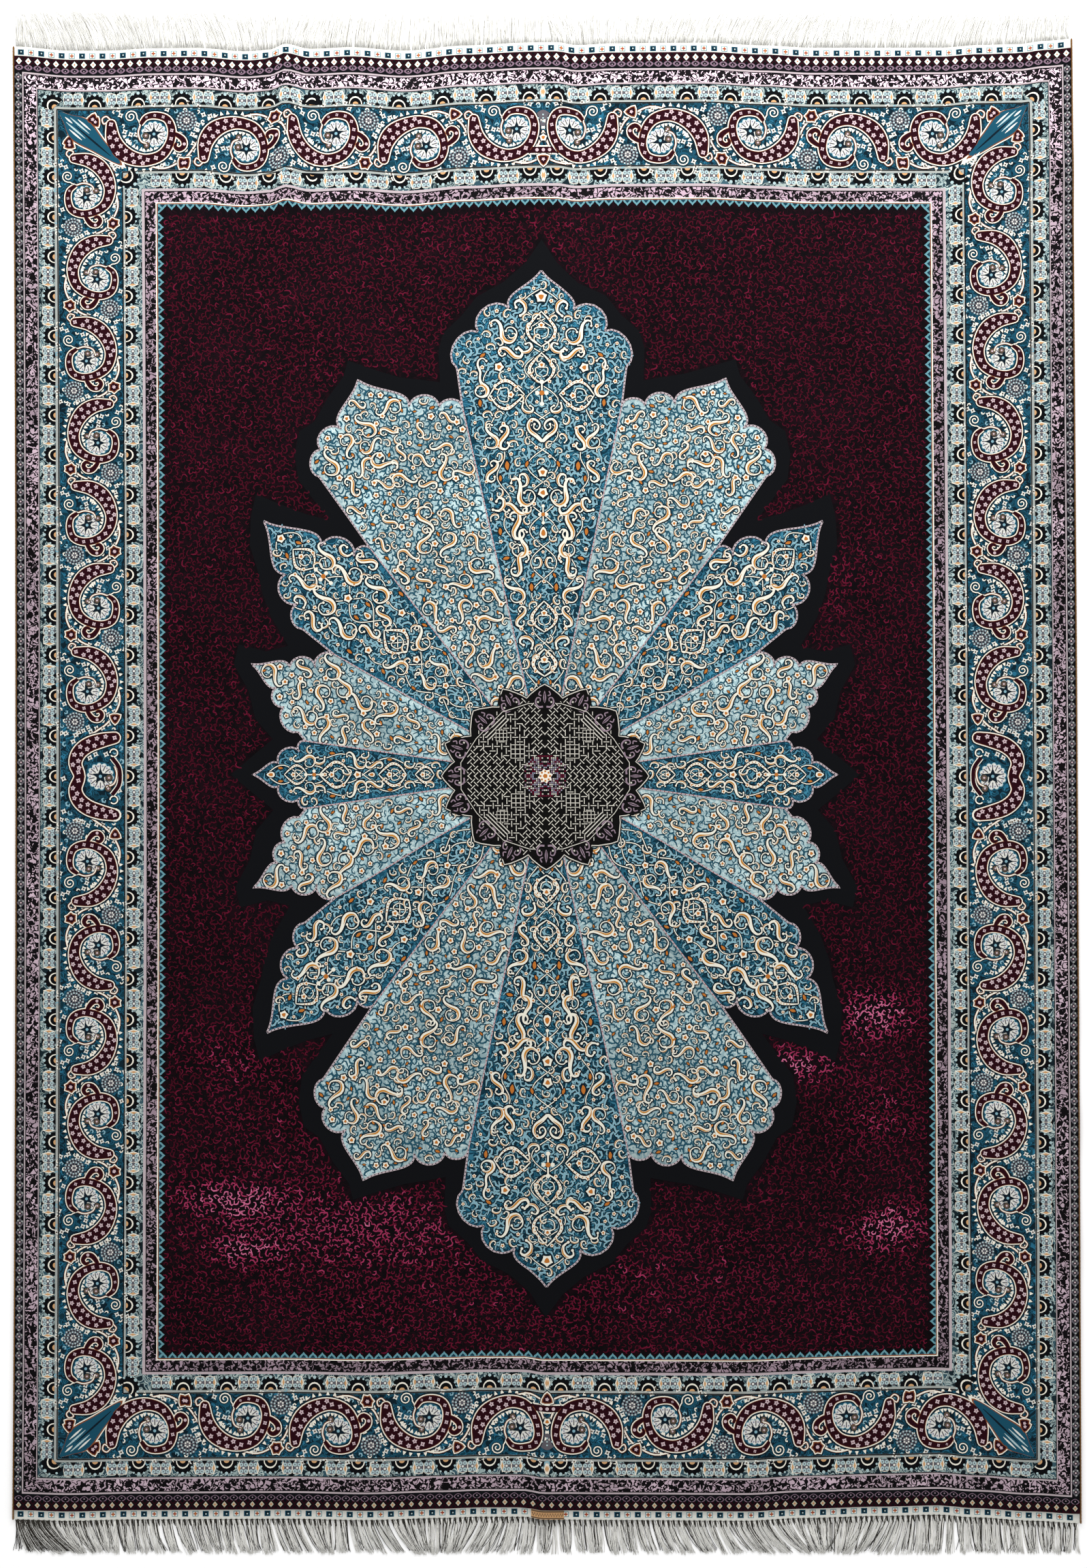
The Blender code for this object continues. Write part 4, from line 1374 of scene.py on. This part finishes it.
# %% The units of a quarter, and the vine
BorderUnit = namedtuple("BorderUnit", "along_band facing")  # mm from the mirror axis; 1 passes by the field
END_UNITS = (BorderUnit(555, 1), BorderUnit(423, -1), BorderUnit(294.5, 1), BorderUnit(165.5, -1),
             BorderUnit(36, 1))
SIDE_UNITS = tuple(BorderUnit(119.4 * k, 1 if k % 2 else -1) for k in range(7, 0, -1))
END_SIZE, SIDE_SIZE = 1.0, 0.93
END_BAND = HALF_ALONG - (BANDS["outer_main_line"].end_to + BANDS["main"].end_to) / 2
SIDE_BAND = HALF_ACROSS - (BANDS["outer_main_line"].side_to + BANDS["main"].side_to) / 2
OUTWARD = {1: 7.0, -1: -10.0}  # mm from the band's middle to a unit's origin


def unit_rows(units, band_middle, size, on_end):
    """Rows for `copies`, one for each unit of the quarter toward the head's right."""
    rows = []
    for row in units:
        out = band_middle + OUTWARD[row.facing] * size
        place = (row.along_band, out) if on_end else (out, row.along_band)
        turn, flip = (180, -row.facing) if on_end else (-90, row.facing)
        rows.append((*place, turn, size, flip))
    return rows


end_rows = unit_rows(END_UNITS, END_BAND, END_SIZE, True)
side_rows = unit_rows(SIDE_UNITS, SIDE_BAND, SIDE_SIZE, False)
every = end_rows + side_rows
quarter = copies(unit, every) + copies(between_units, end_rows[:-1] + side_rows)
ground_flowers = copies(blossom, every)


def vine_path(rows, last):
    """The vine's path through all the units of a band, and on to its last points."""
    mark = Shape(VINE, np.zeros((0, 3), int), "cream", 0)
    path = np.concatenate([copies([mark], (row,))[0].points for row in rows])
    return smooth(np.concatenate((path, last)), 4)


end_vine = vine_path(end_rows, [(10.0, END_BAND - 30), (0.0, END_BAND + 4)])
side_vine = vine_path(side_rows, [(SIDE_BAND - 8.0, 66.0), (SIDE_BAND + 6.0, 56.0)])
for path in (end_vine, side_vine):
    quarter += strands(path, (5.0, "navy", 1), (3.2, "rust", 1.4), (2.1, "cream", 1.8))
print(len(every), "units in a quarter")

# %% The leaf in each corner
outer_line = BANDS["outer_main_line"]
corner_place = np.array((HALF_ACROSS - outer_line.side_to, HALF_ALONG - outer_line.end_to))
leaf_rim = smooth(((0, 0), (-14, 8), (-38, 19), (-72, 12), (-118, 0), (-72, -12), (-38, -19), (-14, -8)),
                  5, closed=True)
corner_leaf = [patches(leaf_rim * 1.05, "cream", 3, rings=3), patches(leaf_rim, "rust", 3.5, rings=3),
               patches(leaf_rim * (0.97, 0.92), "teal", 4, rings=3)]
for aside, start, end, key in ((0, -96, -30, "navy"), (4.5, -52, -16, "light_blue"),
                               (-4.5, -52, -16, "light_blue"), (9.5, -50, -26, "white"),
                               (-9.5, -50, -26, "white"), (0, -24, -10, "white")):
    streak = np.stack((np.linspace(start, end, 6), np.full(6, aside)), 1)
    corner_leaf.append(ribbons(streak, (0.6, 1.8, 2.6, 2.6, 1.8, 0.6), key, 5))
quarter += moved(corner_leaf, corner_place - (3, 3), 41)
for along_end, in_side, turn in ((17, 50, 120), (54, 17, 150)):
    quarter += triangle_bud(corner_place - (along_end, in_side), turn, 0.9)
border = copies(quarter, QUARTERS)
ground_flowers = copies(ground_flowers, QUARTERS)

# %% The joint between the two middle commas of each end, and the clasp in the middle of each side
bridge = np.array(((-26, -24), (0, -24), (26, -24)))
joint = [*strands(bridge, (13.0, "cream", 3), (9.0, "burgundy", 5)),
         dots(((-9, -24), (0, -24), (9, -24)), 2.6, "rose", 6, sides=7)]
almond = smooth(((14, 22), (0, 34), (-14, 22), (0, 10)), 5, closed=True)
joint += [patches(almond, "grey", 2),
          dots(((-7, 22), (0, 22), (7, 22), (0, 17), (0, 27)), 1.5, "light_blue", 3, sides=4)]
joint += lifted(moved(FLOWER, (0, -6), size=0.9), 2) + triangle_bud((0, -38), 180)
border += copies(moved(joint, (0, END_BAND)), HEAD_AND_FOOT)

clasp_rows = smooth(np.array((
    (-34, 58, 7.0), (-14, 54, 9.0), (6, 47, 9.6), (20, 35, 9.2), (25, 19, 8.0), (19, 0, 6.8), (25, -19, 8.0),
    (20, -35, 9.2), (6, -47, 9.6), (-14, -54, 9.0), (-34, -58, 7.0))) * (0.95, 0.95, 1), 4)
clasp_path, clasp_half = clasp_rows[:, :2], clasp_rows[:, 2]
clasp = banded(clasp_rows)
clasp += [dots(clasp_path[-1:], clasp_half[-1] + 2.6, "cream", 3, sides=12),
          dots(clasp_path[-1:], clasp_half[-1], "burgundy", 5, sides=12)]
clasp += dot_flowers(clasp_path, clasp_half)
ring_path = smooth(np.array(((-30, 28), (-40, 14), (-42, 0), (-40, -14), (-30, -28))) * 0.95, 4)
clasp += strands(ring_path, (8.0, "cream", 3), (5.4, "burgundy", 5))
clasp += moved(moved(palmette, (2, 0)), (-12, 0), size=1.05)
for y in (32, -32):
    clasp += strands(arc(5.5, 0, 320, 14, (-31.0, y * 1.05)), (4.2, "navy", 3), (1.8, "cream", 4))
free = strewn(np.array(((-42, -66), (42, -66), (42, 66), (-42, 66)), float), 8.6, chance, 0.0)
free = free[(away(free, clasp_path) > 16) & (np.hypot(free[:, 0] + 12, free[:, 1]) > 26)]
clasp += blossoms(free[::2], 4.8, 4, "white", "bud")
clasp += copies([small_leaf], rows_at(free[1::2], 7 * free[1::2, 0], 0.75))
border += copies(moved(clasp, (SIDE_BAND, 0)), BOTH_SIDES)
lay_down("border_blossoms", ground_flowers)


def where(shapes, test):
    """The shapes with only those triangles whose first point passes a test."""
    kept = []
    for shape in shapes:
        faces = shape.faces[test(shape.points[shape.faces[:, 0]])]
        if len(faces):
            used, faces = np.unique(faces, return_inverse=True)
            kept.append(shape._replace(points=shape.points[used], faces=faces.reshape(-1, 3)))
    return kept


lay_down("border_head", where(border, lambda places: places[:, 1] >= 0))
lay_down("border_foot", where(border, lambda places: places[:, 1] < 0))

# %% [markdown]
# ## The guards
#
# A narrow pale guard runs on each side of the main border. Half rosettes stand on the main border's
# lines, black with a tan heart and two ram's-horn scrolls, and between them are pairs of light-blue
# square flowers and cream lozenges.

# %% Guard motifs
half_turn = np.radians(np.linspace(0, 180, 9))


def half_disc(radius, silk_name, level, squash):
    """A half round that stands on its flat side."""
    return patches(np.stack((np.cos(half_turn), np.sin(half_turn) * squash), 1) * radius, silk_name, level)


dome = [half_disc(16.6, "black", 1, 1.22), half_disc(10.2, "cream", 2, 1.16),
        half_disc(8.7, "black", 3, 1.08), half_disc(4.2, "tan", 4, 0.85)]
# Light notches turn the rim into ram's horns
dome += copies([dots(((13.8, 9.4), (7.6, 17.6)), (1.9, 1.7), "light_blue", 2, sides=5)], BOTH_SIDES)
dome += [dots((0, 19.0), 2.6, "light_blue", 3, sides=6)]
lozenge = [patches(((0, 20), (-3.2, 10.5), (0, 1), (3.2, 10.5)), "cream", 2),
           patches(((0, 16), (-1.7, 10.5), (0, 5), (1.7, 10.5)), "tan", 3)]
square_rim = smooth(((-5, 3), (0, 1.8), (5, 3), (6, 10.5), (5, 18), (0, 19.4), (-5, 18), (-6, 10.5)), 1,
                    closed=True)
square_corners = ((-3.1, 5.9), (3.1, 5.9), (-3.1, 15.1), (3.1, 15.1))
square_flower = [patches(square_rim * (1.18, 1.03), "cream", 1),
                 patches(square_rim * (1.05, 0.98), "grey", 2), dots(square_corners, 3.1, "light_blue", 3),
                 dots((0, 10.5), 2.1, "white", 3, sides=4), dots(square_corners, 1.1, "grey", 4, sides=4)]
mark = [patches(((-4.2, 0), (4.2, 0), (0, 5.4)), "black", 2),
        patches(((3.6, 21.4), (-3.6, 21.4), (0, 17.0)), "black", 2)]
print("dome:", sum(len(s.faces) for s in dome), "triangles")


# %% The guards' rows
END_PITCH, SIDE_PITCH = 62.2, 57.7  # mm from one dome to the next


def guard_motifs(band, facing):
    """One guard's motifs, on the inner edge of a band, facing 1 outward or -1 inward."""
    side_base, end_base = corners(band.side_to, band.end_to)[2]
    domes, flowers, lozenges, marks, turned = [], [], [], [], 180 if facing < 0 else 0
    for place in np.arange(19.4, side_base - 24, END_PITCH):
        domes.append((place, end_base, 0, 0.94))
        lozenges += [(place + 18.2, end_base, 0, 1.0), (place - 18.2, end_base, 0, 1.0)]
        middle = place + END_PITCH / 2
        if middle + 8.5 < side_base - 8:
            flowers += [(middle - 6.9, end_base, 0, 1.0), (middle + 6.9, end_base, 0, 1.0)]
            marks.append((middle, end_base, 0, 1.0))
    for place in np.arange(0, end_base - 24, SIDE_PITCH):
        if place:
            domes.append((side_base, place, -90, 0.88))
            lozenges.append((side_base, place - 16.6, -90, 0.95))
        lozenges.append((side_base, place + 16.6, -90, 0.95))
        middle = place + SIDE_PITCH / 2
        if middle + 8 < end_base - 8:
            flowers += [(side_base, middle - 6.2, -90, 0.95), (side_base, middle + 6.2, -90, 0.95)]
            marks.append((side_base, middle, -90, 0.95))
    domes.append((side_base - 1, end_base - 1, -45, 1.0))
    made = []
    for motif, rows in ((dome, domes), (square_flower, flowers), (lozenge, lozenges), (mark, marks)):
        made += copies(motif, [(x, y, turn + turned, size, 1) for x, y, turn, size in rows])
    on_axis = copies(moved(dome, (side_base, 0), turned - 90, 0.88), BOTH_SIDES)
    return copies(made, QUARTERS) + on_axis


lay_down("outer_guard_motifs", guard_motifs(BANDS["outer_guard"], 1))
lay_down("inner_guard_motifs", guard_motifs(BANDS["inner_main_line"], -1))

# %% Fine lines of the bands
def line_round(side_in, end_in, wide, silk_name, level=1):
    """A straight line all the way round the rug, inset from its edges."""
    ring = corners(side_in, end_in)
    made = []
    for start, end in zip(ring, np.roll(ring, -1, 0)):
        count = round(np.linalg.norm(end - start) / STEP)
        path = start + (end - start) * np.linspace(0, 1, count)[:, None]
        made.append(ribbons(path, wide, silk_name, level))
    return made


lines = []
names = list(BANDS)
for title, share in (("outer_main_line", 0.8), ("inner_main_line", 0.2)):
    before, band = BANDS[names[names.index(title) - 1]], BANDS[title]
    lines += line_round(before.side_to + (band.side_to - before.side_to) * share,
                        before.end_to + (band.end_to - before.end_to) * share, 1.6, "black", 2)
for title in ("edge_line", "outer_guard_line", "inner_guard_line"):
    lines += line_round(BANDS[title].side_to + 0.4, BANDS[title].end_to + 0.4, 1.0, "black", 2)
lines += line_round(BANDS["field_line"].side_to - 0.6, BANDS["field_line"].end_to - 0.6, 1.5, "rust")

# The light-blue teeth round the field
TOOTH = 13.3  # mm from one to the next
tooth = smooth(((6.6, 0.2), (5.0, -3.2), (1.6, -6.4), (0, -8.6), (-1.6, -6.4), (-5.0, -3.2), (-6.6, 0.2)), 2)
tooth = tooth[::-1]
tooth_shapes = [patches(tooth, "sea", 1), patches(tooth * 0.5 - (0, 0.4), "deep_teal", 2)]


def evenly(reach, pitch):
    """Places at about this pitch, from -reach to reach, with half a step left at each end."""
    count = round(2 * reach / pitch)
    return (np.arange(count) + 0.5) * 2 * reach / count - reach


end_teeth, side_teeth = (evenly(reach, TOOTH) for reach in (FIELD_ACROSS, FIELD_ALONG))
lines += copies(copies(tooth_shapes, [(place, FIELD_ALONG, 0, 1, 1) for place in end_teeth]), HEAD_AND_FOOT)
lines += copies(copies(tooth_shapes, [(FIELD_ACROSS, place, -90, 1, 1) for place in side_teeth]), BOTH_SIDES)
lay_down("band_lines", lines)

# %% Diamonds and scallops of the outermost edge
EDGE_PITCH = 13.3


def by_end(across, inset):
    """Places so far in from the end of the pile."""
    return np.stack((across, np.full(len(across), HALF_ALONG - inset)), 1)


places = evenly(HALF_ACROSS, EDGE_PITCH)
row = by_end(places, 7.6)
between_row = (row[1:] + row[:-1]) / 2
belt = by_end(np.linspace(-HALF_ACROSS, HALF_ACROSS, 150), 6.8)
scallop = smooth(((-6.2, -16.2), (-3.6, -19.6), (0, -21.0), (3.6, -19.6), (6.2, -16.2), (0, -12.2)), 2,
                 closed=True)
shapes = []
# At the foot the diamonds are smaller and in a darker cream, a painted shade, and the scallops thinner
for mirror, diamond, hollow, pale in ((1, 4.3, 1.2, "white"), (-1, 3.7, 1.7, "foot_cream")):
    holes = (scallop + (0, 16.4)) * 0.45 * hollow
    end_edge = [
        ribbons(belt, 13.0, "burgundy", 1), dots(row, 6.4, "black", 2, sides=4, turn=0),
        dots(row, diamond, pale, 3, sides=4, turn=0, stretch=1.15),
        dots(row, 1.3, "orange", 4, sides=4, turn=0),
        dots(between_row + (0, 4.6), 2.2, "black", 2, sides=4, turn=0),
        dots(between_row - (0, 4.6), 2.2, "black", 2, sides=4, turn=0),
        patches(scallop[None] + by_end(places, 0)[:, None], "mauve", 1),
        patches(holes[None] + by_end(places, 16.6)[:, None], "black", 2),
        dots(by_end(places, 17.4), 1.3, "star_mauve", 3, sides=4),
    ]
    shapes += copies(end_edge, ((0, 0, 0, 1, mirror),))
side_places = evenly(HALF_ALONG - 24, EDGE_PITCH)
side_row = np.stack((np.full(len(side_places), HALF_ACROSS - 5.6), side_places), 1)
side_edge = [
    dots(side_row, 6.2, "grey", 1, sides=4, turn=0, stretch=1.1),
    dots(side_row, 3.0, "black", 2, sides=4, turn=0), dots(side_row, 1.6, "rose", 3, sides=4, turn=0),
]
for step in ((-3.2, 2.2), (2.4, 3.4), (0.8, -4.4)):
    side_edge.append(dots(side_row + step, 1.5, "pale_grey", 3, sides=4, turn=0))
lay_down("edge_pattern", shapes + copies(side_edge, BOTH_SIDES))

# %% [markdown]
# ## Strips, fringes and bound sides
#
# Past the pile, each end has a narrow strip of plain white weave with small blue squares and red
# crosses in it. The warps leave it as a fringe: silk ends combed straight, a little longer or shorter
# than each other. A lock is a bundle of thin yarns, so each lock is drawn as its yarns. The sides are
# overcast with tan silk over a cord.

# %% Plain-woven strips
STRIP_MM = 1000 * STRIP_WIDTH
STRIP_TOP = 1000 * STRIP_THICKNESS


def strip(name, facing):
    """The woven strip past one end, a closed slab."""
    form = bmesh.new()
    bmesh.ops.create_grid(form, x_segments=round(2 * HALF_ACROSS / 8), y_segments=2, size=0.5)
    start = HALF_ALONG + 1000 * GAP
    for vert in form.verts:
        vert.co = (vert.co.x * 2 * HALF_ACROSS, facing * (start + (vert.co.y + 0.5) * STRIP_MM), 0)
    upper = bmesh.ops.extrude_face_region(form, geom=form.faces[:])["geom"]
    raised = [v for v in upper if isinstance(v, bmesh.types.BMVert)]
    bmesh.ops.translate(form, vec=(0, 0, STRIP_TOP), verts=raised)
    bmesh.ops.recalc_face_normals(form, faces=form.faces)
    made = settle(name, form, silks["white"])
    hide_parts("head_fringe" if facing > 0 else "foot_fringe")


strip("head_strip", 1)
strip("foot_strip", -1)

STRIP_PITCH = 29.2  # mm from one blue square to the next, with a red cross halfway
STRIP_START = -0.3  # mm in from the end of the pile, so just past it
across = np.arange(-HALF_ACROSS + 9, HALF_ACROSS - 6, STRIP_PITCH)
squares = by_end(across, STRIP_START - STRIP_MM * 0.42)
crosses = by_end(across[:-1] + STRIP_PITCH / 2, STRIP_START - STRIP_MM * 0.42)
bar = np.array(((-2.6, 0), (2.6, 0)))
cross_motif = [dots((0, 0), 6.0, "sea", 1, sides=4, stretch=0.9),
               dots((0, 0), 4.7, "white", 2, sides=4, stretch=0.9),
               ribbons(bar, 1.7, "red", 3), ribbons(bar[:, ::-1], 1.7, "orange", 3)]
marks = [dots(squares, 6.0, "teal", 1, sides=4, stretch=0.9), dots(squares, 3.8, "navy", 2, sides=4),
         dots(squares + (0.4, 0.3), 1.4, "light_blue", 3, sides=4), *copies(cross_motif, rows_at(crosses))]
lay_down("head_strip_marks", marks, face=STRIP_TOP)

# The foot's strip also has a plain tan braid in its middle, and painted shadow in the gaps at the roots of
# its locks
braid = by_end(np.linspace(-22.4, 24.3, 9), STRIP_START - STRIP_MM * 0.5)
zigzag = braid.repeat(3, 0)[:-2]
zigzag[:, 0] = np.linspace(-21, 23, len(zigzag))
zigzag[:, 1] += np.where(np.arange(len(zigzag)) % 2, 2.2, -2.2)
root_shadows = by_end(np.linspace(-HALF_ACROSS + 5, HALF_ACROSS - 8, 204), 0.4 - STRIP_MM)
root_shadows = root_shadows[:, None] + np.array(((0, 0), (0.8, 4.5), (2.4, 9.5)))[None]
marks += [ribbons(braid, 12.0, "tan", 4), ribbons(braid + (0, 4.6), 1.4, "bud", 5),
          ribbons(braid - (0, 4.6), 1.4, "bud", 5), ribbons(zigzag, 1.3, "bud", 5),
          ribbons(root_shadows, (3.0, 2.6, 0.8), "warp_root", 8)]
lay_down("foot_strip_marks", copies(marks, HEAD_AND_FOOT[1:]), face=STRIP_TOP)

# %% Fringe yarns
LOCKS = 208
STATIONS = 5  # places along a yarn
ROOT_SPAN = 0.997  # the share of the rug's width that the locks' roots take
SIDE_REACH = 0.7625  # metres, beyond which no yarn leans out
LOCK_SHORT, YARN_SHORT = 0.004, 0.0022  # metres by which locks and single yarns are shorter
LEAN_SPREAD = 0.035  # how much single yarns lean more or less than their comb row
BEND_SPREAD, LOCK_BEND = 0.0009, 0.0006  # metres by which yarns and whole locks bend aside
# The thin dark yarns are painted shadow, thickest at the foot's left corner
CORNER_END = -712.0  # mm, how far the thin dark yarns go in from the foot's left corner
# Rows of (metres across the rug, how far a yarn leans to the right for each mm outward)
HEAD_COMB = np.array((
    (-0.76, 0.0), (-0.72, -0.40), (-0.59, -0.42), (-0.55, -0.12), (-0.47, -0.42), (-0.39, -0.10),
    (-0.36, 0.36), (-0.29, 0.14), (-0.10, 0.0), (-0.01, 0.0), (0.02, -0.35), (0.07, 0.0), (0.19, 0.32),
    (0.34, 0.48), (0.43, 0.20), (0.58, 0.34), (0.72, 0.12), (0.76, 0.0)))
FOOT_COMB = np.array((
    (-0.76, 0.30), (-0.73, 0.90), (-0.68, 0.50), (-0.60, 0.12), (-0.50, 0.34), (-0.42, 0.14),
    (-0.36, 0.46), (-0.30, 0.08), (-0.23, 0.60), (-0.16, 0.05), (-0.09, -0.55), (-0.01, 0.0), (0.07, 0.10),
    (0.21, 0.42), (0.33, 0.75), (0.41, 0.0), (0.48, -0.50), (0.54, 0.0), (0.70, 0.10), (0.76, 0.0)))


def yarns(name, facing, comb, per_lock, finish, seed, height, spread, radius=0.55, slack=0.0, tangle=0.03,
          stretch=(-HALF_ACROSS, HALF_ACROSS)):
    """Part of an end's fringe: thin yarns in locks, all in one mesh."""
    chance = np.random.default_rng(seed)
    lock = np.repeat(np.arange(LOCKS), per_lock)
    count = len(lock)
    low, high = stretch
    across = (low + (lock + 0.5) / LOCKS * (high - low)) * ROOT_SPAN
    lock_wave = chance.normal(0, 1, LOCKS)[lock]
    across = np.clip(across + chance.uniform(-spread, spread, count), -HALF_ACROSS, HALF_ACROSS)
    root_out = facing * (HALF_ALONG + 1000 * GAP + STRIP_MM - 1.0)
    root = lay(np.stack((across, np.full(count, root_out)), 1), height)
    shortfall = chance.uniform(0, LOCK_SHORT, LOCKS)[lock]
    shortfall = shortfall + np.abs(chance.normal(0, YARN_SHORT, count)) + slack
    reach = FRINGE_REACH - shortfall - np.abs(root[:, 1])
    lean = between(comb, root[:, 0]) + lock_wave * tangle + chance.normal(0, LEAN_SPREAD, count)
    t = np.linspace(0, 1, STATIONS)[None]
    bend = chance.normal(0, BEND_SPREAD, (count, 1)) * np.sin(t * math.pi)
    bend = bend + lock_wave[:, None] * LOCK_BEND * np.sin(t * 6)
    x = root[:, 0, None] + lean[:, None] * reach[:, None] * t ** 1.5 + bend
    x = np.clip(x, -SIDE_REACH, SIDE_REACH)
    y = root[:, 1, None] + facing * reach[:, None] * t
    lying = radius / 1000 + chance.uniform(0, 0.0012, (count, 1)) * (1 - t * 0.6)
    z = root[:, 2, None] * (1 - ease(t * 3)) + lying * ease(t * 3)
    path = np.stack((x, y, z), -1)
    thin = (radius / 1000) * (1 - 0.35 * t ** 3)
    turn = np.radians((90, 210, 330))
    rim = np.stack((np.cos(turn), np.zeros(3), np.sin(turn)), -1)
    points = path[:, :, None] + rim[None, None] * np.broadcast_to(thin, (count, STATIONS))[:, :, None, None]
    first = np.arange(STATIONS - 1)[:, None] * 3
    at, after = first + np.arange(3), first + (np.arange(3) + 1) % 3
    quads = np.stack((at, after, after + 3, at + 3), -1).reshape(-1, 4)[:, ::-facing]
    tips = 3 * STATIONS - np.array((1, 2, 3))
    ends = np.stack(((0, 1, 2), tips))[:, ::facing]
    faces = np.concatenate((quads[:, [0, 1, 2]], quads[:, [0, 2, 3]], ends))
    faces = (faces[None] + (np.arange(count) * 3 * STATIONS)[:, None, None]).reshape(-1, 3)
    mesh = triangle_mesh(name, points.reshape(-1, 3), faces, np.zeros(len(faces)))
    made = add_piece(name, mesh, [silks[finish]])
    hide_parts("head_fringe" if facing > 0 else "foot_fringe")
    print(f"{name}: {count} yarns, {len(faces)} triangles")


yarns("head_fringe_yarns", 1, HEAD_COMB, 13, "warp", 51, 1.4, 3.5)
# Darker yarns among the head's locks paint the shade between them
yarns("head_fringe_shade", 1, HEAD_COMB, 2, "warp_painted_shade", 52, 1.2, 3.5, 0.42, 0.003)
# The foot's yarns are in a lighter silk, painted light for the dimmer foot
yarns("foot_fringe_yarns", -1, FOOT_COMB, 10, "warp_foot_painted_light", 53, 1.3, 2.9, tangle=0.08)
# Dark yarns paint the shadow under and between the foot's locks, and a patch of it at the left corner
yarns("foot_fringe_shade", -1, FOOT_COMB, 3, "warp_painted_shadow", 54, 1.5, 3.5, 0.6, 0.003, tangle=0.12)
yarns("foot_corner_shade", -1, FOOT_COMB, 1, "warp_painted_shadow", 56, 1.6, 2.0, 0.5, 0.004, tangle=0.25,
      stretch=(-HALF_ACROSS, CORNER_END))

# %% Bound sides
WRAP, REST = 4.8, 0.84  # mm between wraps; the valley's share of the radius


def bound_side(name, edge, inward):
    """Tan silk wrapped over a cord along one side: a round cord with a ridge for each wrap."""
    reach = HALF_PILE + GAP + STRIP_WIDTH
    rows = round(2 * reach * 1000 / WRAP) * 2 + 1
    along = np.linspace(-reach, reach, rows)
    middle = side(edge, along) + inward * BINDING_WIDTH / 2
    across = -HALF_ACROSS if inward > 0 else HALF_ACROSS
    spine = lay(np.stack((np.full(rows, across), along * 1000), 1), 0.0)
    sides = 6
    turn = 2 * math.pi * (np.arange(sides) + 0.5) / sides
    share = np.where(np.arange(rows) % 2, 1.0, REST)[:, None]
    x = middle[:, None] + BINDING_WIDTH / 2 * np.cos(turn) * share
    z = spine[:, 2, None] + PILE_THICKNESS / 2 * (1 + np.sin(turn) * share)
    y = np.broadcast_to(spine[:, 1, None], x.shape)
    points = np.stack((x, y, z), -1)
    first = np.arange(rows - 1)[:, None] * sides
    at, after = first + np.arange(sides), first + (np.arange(sides) + 1) % sides
    quads = np.stack((at, at + sides, after + sides, after), -1).reshape(-1, 4)
    cap = np.array([(0, k, k + 1) for k in range(1, sides - 1)])
    last = (rows - 1) * sides
    faces = np.concatenate((quads[:, [0, 1, 2]], quads[:, [0, 2, 3]], cap, cap[:, ::-1] + last))
    mesh = triangle_mesh(name, points.reshape(-1, 3), faces, np.zeros(len(faces)))
    made = add_piece(name, mesh, [silks["binding"]])
    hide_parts("left_binding" if inward > 0 else "right_binding")
    print(f"{name}: {len(faces)} triangles")


bound_side("left_bound_side", LEFT_SIDE, 1)
bound_side("right_bound_side", RIGHT_SIDE, -1)

# %% [markdown]
# ## Floor, light and camera
#
# The rug lies on a plain pale floor, seen from straight above. A large soft light stands past the
# head end, so the head is brighter than the foot and the low folds catch it. The rest of the light
# comes evenly from a white surround, as from a photographer's tent.

# %% Floor
form = bmesh.new()
bmesh.ops.create_grid(form, x_segments=1, y_segments=1, size=6)
floor_mesh = bpy.data.meshes.new("floor")
form.to_mesh(floor_mesh)
form.free()
floor = bpy.data.objects.new("floor", floor_mesh)
bpy.context.scene.collection.objects.link(floor)
floor_paint = bpy.data.materials.new("matt_white_floor_paint")
floor_paint.use_nodes = True
floor_shader = floor_paint.node_tree.nodes["Principled BSDF"]
floor_shader.inputs["Base Color"].default_value = linear("fefefe")
floor_shader.inputs["Roughness"].default_value = 0.9
floor_mesh.materials.append(floor_paint)
print("floor is 12 m across")

# %% Camera and light
PHOTO_TALL = 2303  # pixels, from its top to its bottom
PHOTO_PIXEL = 0.972  # mm of rug that one pixel of the photograph shows
CAMERA_HEIGHT = 5.0
camera_data = bpy.data.cameras.new("camera")
camera = bpy.data.objects.new("camera", camera_data)
bpy.context.scene.collection.objects.link(camera)
bpy.context.scene.camera = camera
camera.location = (-0.0049, -0.0019, CAMERA_HEIGHT)
camera_data.sensor_fit = "VERTICAL"
camera_data.sensor_height = 36
camera_data.lens = 36 * (1000 * CAMERA_HEIGHT - FACE) / (PHOTO_TALL * PHOTO_PIXEL)

world = bpy.data.worlds.new("studio")
bpy.context.scene.world = world
world.use_nodes = True
world.node_tree.nodes["Background"].inputs["Color"].default_value = (1, 1, 1, 1)
world.node_tree.nodes["Background"].inputs["Strength"].default_value = 0.87
softbox = bpy.data.lights.new("head_softbox", "AREA")
softbox.shape = "RECTANGLE"
softbox.size = 2.4
softbox.size_y = 0.8
softbox.energy = 58
light = bpy.data.objects.new("head_softbox", softbox)
light.location = (0.1, 1.95, 1.15)
light.rotation_euler = (math.radians(-50), 0, 0)
bpy.context.scene.collection.objects.link(light)
bpy.context.scene.view_settings.view_transform = "Standard"
print(f"lens {camera_data.lens:.1f} mm at {CAMERA_HEIGHT} m")

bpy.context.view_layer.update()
triangles = sum(len(polygon.vertices) - 2 for piece in pieces.values() for polygon in piece.data.polygons)
print(f"{len(pieces)} pieces, {triangles} triangles in all")
